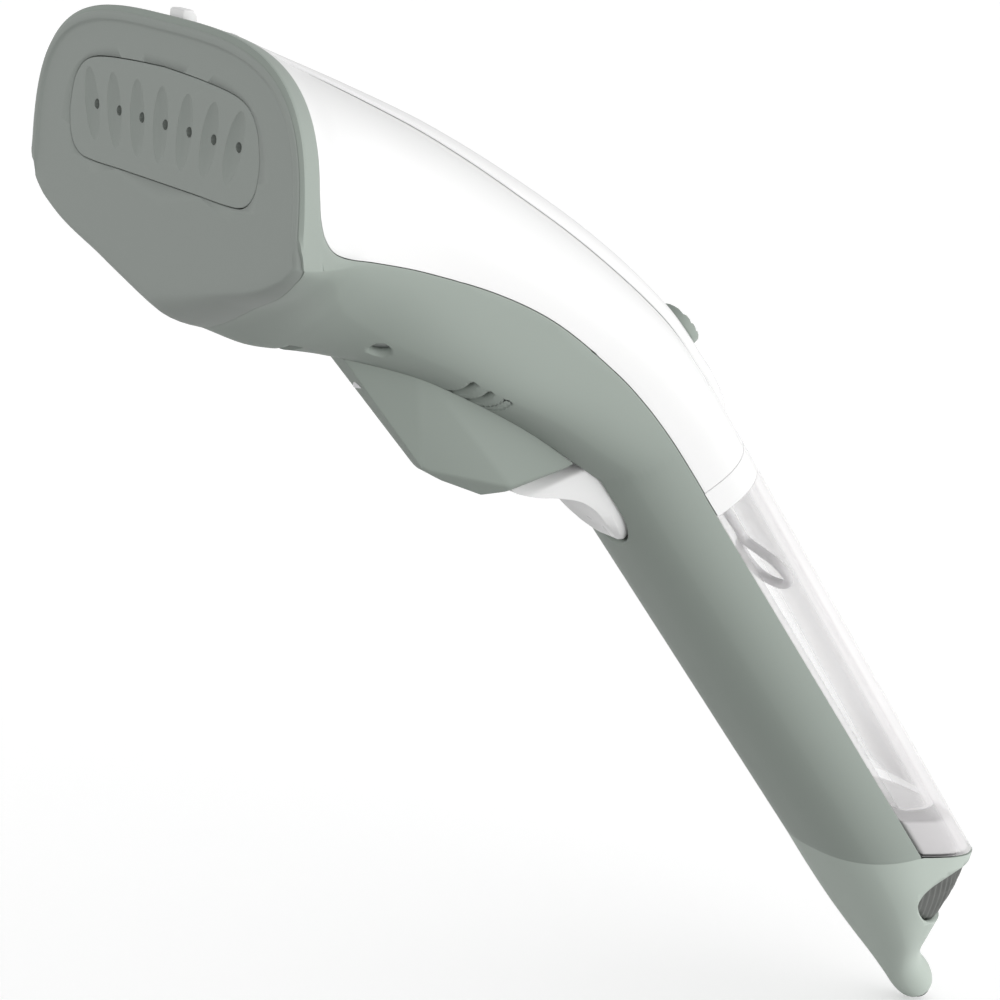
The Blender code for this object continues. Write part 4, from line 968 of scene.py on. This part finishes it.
# Corners of the guard on the right side and in the middle, as (x, y, z).
GUARD_CORNERS = (
    (3.4, 37.5, -20.0), (1.8, 65.0, -50.3), (10.6, 55.0, -26.0), (6.2, 84.3, -54.2), (8.6, 99.0, -49.5),
    (9.4, 106.0, -40.0), (10.0, 80.0, -20.0), (0.0, 72.0, -53.9), (0.0, 85.4, -58.9),
)


def body_solid(grow):
    """The body's outer shape as one closed solid to cut with."""
    steps, last_rib = 96, 10.0
    turns = [2 * math.pi * (k + 0.5) / steps for k in range(steps)]
    rings = [[skin(last_rib * i / steps, turn, grow) for turn in turns] for i in range(steps + 1)]
    return loft("body_tool", rings, SAGE)


def trigger_guard():
    """The faceted keel under the neck with softly rounded creases, hollow behind for the trigger."""
    bm = bmesh.new()
    for x, y, z in GUARD_CORNERS:
        for side in ((1, -1) if x else (1,)):
            bm.verts.new((side * x, y, z))
    bmesh.ops.convex_hull(bm, input=bm.verts)
    guard = make_piece("sage_trigger_guard", bm, SAGE, sharp=10.0)
    soften(guard, 0.7, steps=4, angle=8.0)
    down, depth = GUARD_REAR
    rear = [handle(down - GUARD_LEAN * (level - depth), level).yz for level in (-20.0, 60.0)]
    beyond = [handle(150.0, 60.0).yz, handle(150.0, -20.0).yz]
    cut(guard, side_prism("rear_face", rear + beyond, 30.0, SAGE))
    hollow = []
    for down, front in ((104.0, 33.2), (130.0, 28.0)):
        corners = ((-3.6, front), (3.6, front), (6.4, 14.0), (-6.4, 14.0))
        hollow.append([handle(down, depth, side) for side, depth in corners])
    cut(guard, loft("hollow", hollow, SAGE))
    cut(guard, body_solid(0.05))
    guard.data.set_sharp_from_angle(angle=math.radians(35.0))
    stand_for(guard, "root", "sage", "trigger_guard")


# Ribs of the trigger: how far down the handle, the depth and half width of its front, the half width of its
# root, the depth of its back, and how much the rib leans along the guard's edge.
TRIGGER_RIBS = (
    (100.5, 27.0, 2.6, 4.6, 21.0, 0.0),
    (108.0, 29.6, 2.6, 4.9, 17.0, 0.0),
    (112.0, 30.6, 2.6, 5.2, 14.8, 0.1),
    (115.0, 30.6, 2.2, 5.2, 14.0, 0.3),
    (118.0, 33.0, 3.8, 5.2, 13.9, 0.32),
    (119.2, 31.0, 5.6, 8.2, 13.3, 0.22),
    (121.6, 26.6, 7.0, 8.3, 12.8, 0.1),
    (124.8, 23.2, 7.6, 8.3, 12.3, 0.0),
    (129.5, 21.2, 7.7, 8.3, 11.9, 0.0),
    (134.5, 20.4, 7.0, 8.1, 11.7, 0.0),
    (139.0, 19.6, 5.4, 6.8, 11.8, 0.0),
    (142.4, 18.6, 3.2, 4.6, 12.2, 0.0),
    (144.0, 17.6, 1.4, 2.4, 12.8, 0.0),
)


def trigger():
    """The white trigger: a lever inside the guard and a scooped pad for the finger."""
    track = Track([(down, front, 0.0, front_half, root_half, back, lean)
                   for down, front, front_half, root_half, back, lean in TRIGGER_RIBS])
    rings = []
    for down, front, _, front_half, root_half, back, lean in track.points(6):
        shoulder = min(18.6, front - 1.0)
        scoop = 0.9 * smoothstep(119.0, 126.0, down) * (1 - smoothstep(138.0, 143.5, down))
        pad = [(front_half * k / 6, front - 0.3 - scoop * (1 - (k / 6) ** 2)) for k in range(-6, 7)]
        corners = pad + [(root_half, shoulder), (root_half, back), (-root_half, back), (-root_half, shoulder)]
        rings.append([handle(down - lean * (depth - GUARD_REAR[1]), depth, side) for side, depth in corners])
    lever = loft("white_trigger", rings, WHITE, sharp=30.0)
    soften(lever, 0.35, steps=3, angle=30.0)
    stand_for(lever, "trigger_lever", "white", "trigger")


# ---------------------------------------------------------------- tank

TANK_WALL = 2.0
FLOOR_ROUND = 3.0               # rounding between the tank's walls and its floor
FILLER = (0.0, -8.0)            # the filler and the outlet bore in the tank's cap: side, depth
OUTLET = (10.5, -5.0)


def side_turn(depth):
    """The turn at which the handle's skin reaches a depth."""
    return skin_place(*handle(200.0, depth).yz)[1]


def tank_ring(at_seam, slant, inset, count=72):
    """A D-shaped section of the handle's rear part in a slanted cut, drawn in by inset."""
    front = SIDE_SEAM - inset
    limit = side_turn(front)
    ring = []
    for i in range(count + 1):
        turn = -limit + 2 * limit * i / count
        down = at_seam
        for _ in range(10):
            depth, x = handle_depth(turn, down, -inset)
            down = at_seam + slant * (SIDE_SEAM - depth)
        ring.append(handle(down, depth, x))
    left, right = ring[0], ring[-1]
    steps = 24
    ring += [right.lerp(left, i / steps) for i in range(1, steps)]
    return ring


def water_tank():
    """The clear vessel with its thick foot, open under the cap."""
    start, end = COLLAR_FOOT + SEAM_GAP, TAIL_SEAM - 2 * SEAM_GAP
    floor = TAIL_SEAM - TANK_BASE
    steps = 24
    outer = [tank_ring(end, TAIL_SLANT, 0.5), tank_ring(end - 0.15, TAIL_SLANT, 0.15)]
    inner = []
    for i in range(steps + 1):
        share = i / steps
        slant = COLLAR_SLANT + (TAIL_SLANT - COLLAR_SLANT) * share
        inner.append(tank_ring(start + (floor - FLOOR_ROUND - start) * share, slant, TANK_WALL))
        rising = TAIL_SLANT + (COLLAR_SLANT - TAIL_SLANT) * share
        outer.append(tank_ring(end - 0.5 + (start - end + 0.5) * share, rising, 0.0))
    for i in range(1, 7):
        turn = math.pi / 2 * i / 6
        down = floor - FLOOR_ROUND * (1 - math.sin(turn))
        inner.append(tank_ring(down, TAIL_SLANT, TANK_WALL + FLOOR_ROUND * (1 - math.cos(turn))))
    tank = loft("clear_water_tank", outer + inner, CLEAR)
    tank.visible_shadow = False
    stand_for(tank, "tank", "clear", "water_tank")
    foot_rings = [tank_ring(down, TAIL_SLANT, 0.5) for down in (end - 0.4, floor + 2.0)]
    foot = loft("clear_tank_foot", foot_rings, CLEAR_BASE)
    soften(foot, 0.8)
    stand_for(foot, "tank", "clear")


def tank_cap():
    """The white ring and lid welded on the tank's top, with the filler recess."""
    top, rounding = COLLAR_TOP + SEAM_GAP, 0.15
    profile = ((top, rounding), (top + rounding, 0.0), (COLLAR_FOOT - rounding, 0.0), (COLLAR_FOOT, rounding))
    rings = [tank_ring(down, COLLAR_SLANT, inset, count=96) for down, inset in profile]
    cap = loft("white_tank_cap", rings, WHITE)
    side, depth = FILLER
    cut(cap, rod("recess", handle(130.0, depth, side), handle(142.3, depth, side), 5.4, WHITE))
    side, depth = OUTLET
    cut(cap, rod("bore", handle(130.0, depth, side), handle(160.0, depth, side), 1.8, WHITE))
    stand_for(cap, "tank", "white", "tank_cap")


def filler_tether():
    """The strap that hangs from the plug and ends in a loop, seen through the tank."""
    depth = FILLER[1] - 0.6
    corners = (
        (0.4, 149.6), (0.2, 160.0), (0.4, 168.6), (-2.6, 172.6), (-3.4, 177.4), (-1.4, 181.6), (3.0, 182.8),
        (7.6, 181.6), (10.2, 178.2), (9.0, 174.6), (5.0, 172.2), (1.4, 170.2), (0.4, 168.2),
    )
    track = Track([(x, down, 0.0) for x, down in corners])
    places = track.points(8)
    curve = bpy.data.curves.new("rubber_filler_tether", "CURVE")
    curve.dimensions = "3D"
    curve.bevel_depth = 1.1 * MM
    curve.bevel_resolution = 5
    curve.use_fill_caps = True
    line = curve.splines.new("POLY")
    line.points.add(len(places) - 1)
    for spot, (x, down, _) in zip(line.points, places):
        spot.co = (*(MM * handle(down, depth, x)), 1.0)
    curve.materials.append(RUBBER)
    strap = bpy.data.objects.new("rubber_filler_tether", curve)
    bpy.context.scene.collection.objects.link(strap)
    stand_for(strap, "plug", "grey_rubber", "filler_tether")


# ---------------------------------------------------------------- tail

BUTTON_MIDDLE = (277.0, 0.0)    # down the handle, depth
TAIL_AROUND = 96


def tail_tracks(grow=0.0):
    """For each turn round the tail, the smooth line of points from its seam to its tip."""
    tracks = []
    for i in range(TAIL_AROUND):
        turn = 2 * math.pi * (i + 0.5) / TAIL_AROUND
        signed = turn if turn < math.pi else turn - 2 * math.pi
        points = []
        for back in (1.5, 0.0):
            rib = rib_in_cut(abs(signed), TAIL_SEAM, TAIL_SLANT, TAIL_FRONT_SLANT) - back / DOWN_PER_RIB
            points.append(tuple(skin(rib, signed, grow)))
        for front, rear, half_width, power in TAIL_RIBS:
            spot = ring_point(handle(*rear), handle(*front), 0.5, half_width, power, turn, grow)
            points.append(tuple(spot))
        tracks.append(Track(points))
    return tracks


def tail_rings(grow, first, last):
    """Sections of the tail between two of its ribs."""
    tracks = tail_tracks(grow)
    steps = 6
    return [[Vector(track.at(i / steps)) for track in tracks] for i in range(first * steps, last * steps + 1)]


def tail_cap():
    """The hollow sage tail with its two button windows and the bore for a lead."""
    # The tail wears the lighter sage copy, which is painted light on its side.
    cap = loft("sage_tail_cap", tail_rings(0.0, 1, 9), SAGE_TAIL_PAINTED_LIGHT)
    cut(cap, loft("inside", tail_rings(-WALL, 0, 6), SAGE_TAIL_PAINTED_LIGHT))
    cut(cap, rod("lead_bore", handle(280.0, GLAND_DEPTH), handle(320.0, GLAND_DEPTH), 2.8, SAGE))
    for side in (-1, 1):
        cut(cap, release_window(side, 1.0, 6.0, 26.0))
    stand_for(cap, "root", "sage", "tail_cap")


def window_outline(scale, steps=8):
    """The rounded window in the tail's side, as (down, depth) points."""
    corners = (
        (269.2, 6.4), (269.6, 1.4), (272.0, -4.6), (277.6, -11.4), (284.8, -9.0), (285.6, 0.4), (283.6, 5.4),
        (278.6, 8.6), (271.8, 9.0),
    )
    closed = corners[-1:] + corners + corners[:2]
    track = Track([(down, depth, 0.0) for down, depth in closed])
    middle = Vector(BUTTON_MIDDLE)
    spots = [Vector(track.at(1 + i / steps)[:2]) for i in range(steps * len(corners))]
    return [middle.lerp(spot, scale) for spot in spots]


def release_window(side, scale, low, high):
    """The window as a solid to cut with, between two distances from the middle plane."""
    outline = window_outline(scale)
    ends = sorted((side * low, side * high))
    return loft("window", [[handle(down, depth, x) for down, depth in outline] for x in ends], SAGE)


def release_button(side, word, tree):
    """A dark thumb button with fine slanting ribs, following the tail's side a little below its skin."""
    rings = []
    steps, full = 26, 0.97
    ribs = Vector((0.5, -0.95))     # direction across the ribs, down and in depth
    for i in range(1, steps + 1):
        scale = full * i / steps
        ring = []
        for down, depth in window_outline(scale, steps=14):
            spot = handle(down, depth, side * 60.0)
            hit = tree.ray_cast(spot * MM, Vector((-side, 0.0, 0.0)))[0]
            surface = abs(hit.x) / MM if hit else 9.0
            ripple = 0.28 * math.cos(2 * math.pi * ribs.dot((down, depth)) / 1.9)
            edge = 0.5 * smoothstep(0.86, full, scale)
            ring.append(handle(down, depth, side * max(7.5, surface - 1.3 + ripple - edge)))
        rings.append(ring)
    rings.append([handle(down, depth, side * 7.0) for down, depth in window_outline(full, steps=14)])
    button = loft(f"grille_release_button_{word}", rings, GRILLE, sharp=60.0)
    stand_for(button, f"button_{word}", "dark_grey", f"release_button_{word}")


def release_buttons():
    """Both buttons, laid on the tail's outer skin."""
    bm = bmesh.new()
    outer = loft("tail_guide", tail_rings(0.0, 1, 9), SAGE)
    bm.from_mesh(outer.data)
    tree = BVHTree.FromBMesh(bm)
    bm.free()
    bpy.data.objects.remove(outer, do_unlink=True)
    for side, word in ((-1, "left"), (1, "right")):
        release_button(side, word, tree)


# ---------------------------------------------------------------- stage, light and camera

def stage():
    """The pale floor under the steamer."""
    lowest = CAD_BOX[0].z
    bm = bmesh.new()
    bmesh.ops.create_grid(bm, x_segments=2, y_segments=2, size=14.0)
    for vertex in bm.verts:
        vertex.co.z = lowest - 0.0005
    mesh = bpy.data.meshes.new("studio_floor")
    bm.to_mesh(mesh)
    bm.free()
    floor = bpy.data.objects.new("studio_floor", mesh)
    look, _, shader = new_look("studio_floor")
    feed(shader, Base_Color=(0.95, 0.95, 0.95, 1.0), Roughness=0.9, Specular_IOR_Level=0.1,
         Emission_Color=(1.0, 1.0, 1.0, 1.0), Emission_Strength=0.2)
    mesh.materials.append(look)
    bpy.context.scene.collection.objects.link(floor)
    floor.visible_diffuse = False


# Brightness of the surroundings in a direction d: AMBIENT + SLOPE.d + the sum of share * (axis.d)^2.
AMBIENT = 0.36
SLOPE = Vector((0.50, 0.32, 0.30))
BRIGHT_AXES = (
    (1.5, Vector((0.72, 0.69, -0.05))),
    (0.6, Vector((0.68, -0.70, -0.2))),
    (-0.45, Vector((0.0, 0.0, 1.0))),
)
KEY = {"place": (2.2, 0.2, 1.0), "target": (0.0, 0.1, -0.07), "size": 1.2, "power": 1.5}
# The camera's place in metres and the directions of its right, its up and its back.
CAMERA_PLACE = (0.4881, -0.2742, 0.0945)
CAMERA_AXES = ((0.574, 0.814, 0.0867), (-0.249, 0.0729, 0.9657), (0.780, -0.576, 0.2447))


def world():
    """Soft white surroundings, brightest to the right rear and dimmer straight above and below."""
    made = bpy.data.worlds.new("studio")
    made.use_nodes = True
    bpy.context.scene.world = made
    tree = made.node_tree
    background = tree.nodes["Background"]
    background.inputs["Color"].default_value = (1.0, 1.0, 1.0, 1.0)
    place = tree.nodes.new("ShaderNodeTexCoord").outputs["Generated"]

    def dot(direction):
        made = node(tree, "ShaderNodeVectorMath", operation="DOT_PRODUCT")
        made.inputs[1].default_value = direction
        tree.links.new(place, made.inputs[0])
        return made.outputs["Value"]

    def calculate(operation, first, second, third=0.0):
        made = node(tree, "ShaderNodeMath", operation=operation)
        for socket, value in zip(made.inputs, (first, second, third)):
            if isinstance(value, float):
                socket.default_value = value
            else:
                tree.links.new(value, socket)
        return made.outputs["Value"]

    level = calculate("ADD", dot(SLOPE), AMBIENT)
    for share, axis in BRIGHT_AXES:
        level = calculate("MULTIPLY_ADD", calculate("POWER", dot(axis), 2.0), share, level)
    tree.links.new(calculate("MAXIMUM", level, 0.02), background.inputs["Strength"])


def key_light():
    """A soft disk of light from the right, above."""
    data = bpy.data.lights.new("key", "AREA")
    data.shape = "DISK"
    data.size = KEY["size"]
    data.energy = KEY["power"]
    light = bpy.data.objects.new("key", data)
    light.location = KEY["place"]
    light.rotation_mode = "QUATERNION"
    light.rotation_quaternion = (Vector(KEY["place"]) - Vector(KEY["target"])).to_track_quat("Z", "Y")
    bpy.context.scene.collection.objects.link(light)


def camera():
    data = bpy.data.cameras.new("camera")
    data.lens = 108.0
    data.sensor_width = 36.0
    data.clip_end = 100.0
    made = bpy.data.objects.new("camera", data)
    made.rotation_mode = "QUATERNION"
    made.rotation_quaternion = Matrix(CAMERA_AXES).transposed().to_quaternion()
    made.location = CAMERA_PLACE
    bpy.context.scene.collection.objects.link(made)
    bpy.context.scene.camera = made


def studio():
    stage()
    world()
    key_light()
    camera()
    bpy.context.scene.view_settings.view_transform = "Standard"


def build():
    dress_cad_nodes()
    upper_housing()
    lower_housing()
    face_plate()
    steam_insert()
    accessory_catch()
    spine_cover()
    mode_slider()
    trigger_guard()
    trigger()
    water_tank()
    tank_cap()
    filler_tether()
    tail_cap()
    release_buttons()
    studio()


build()
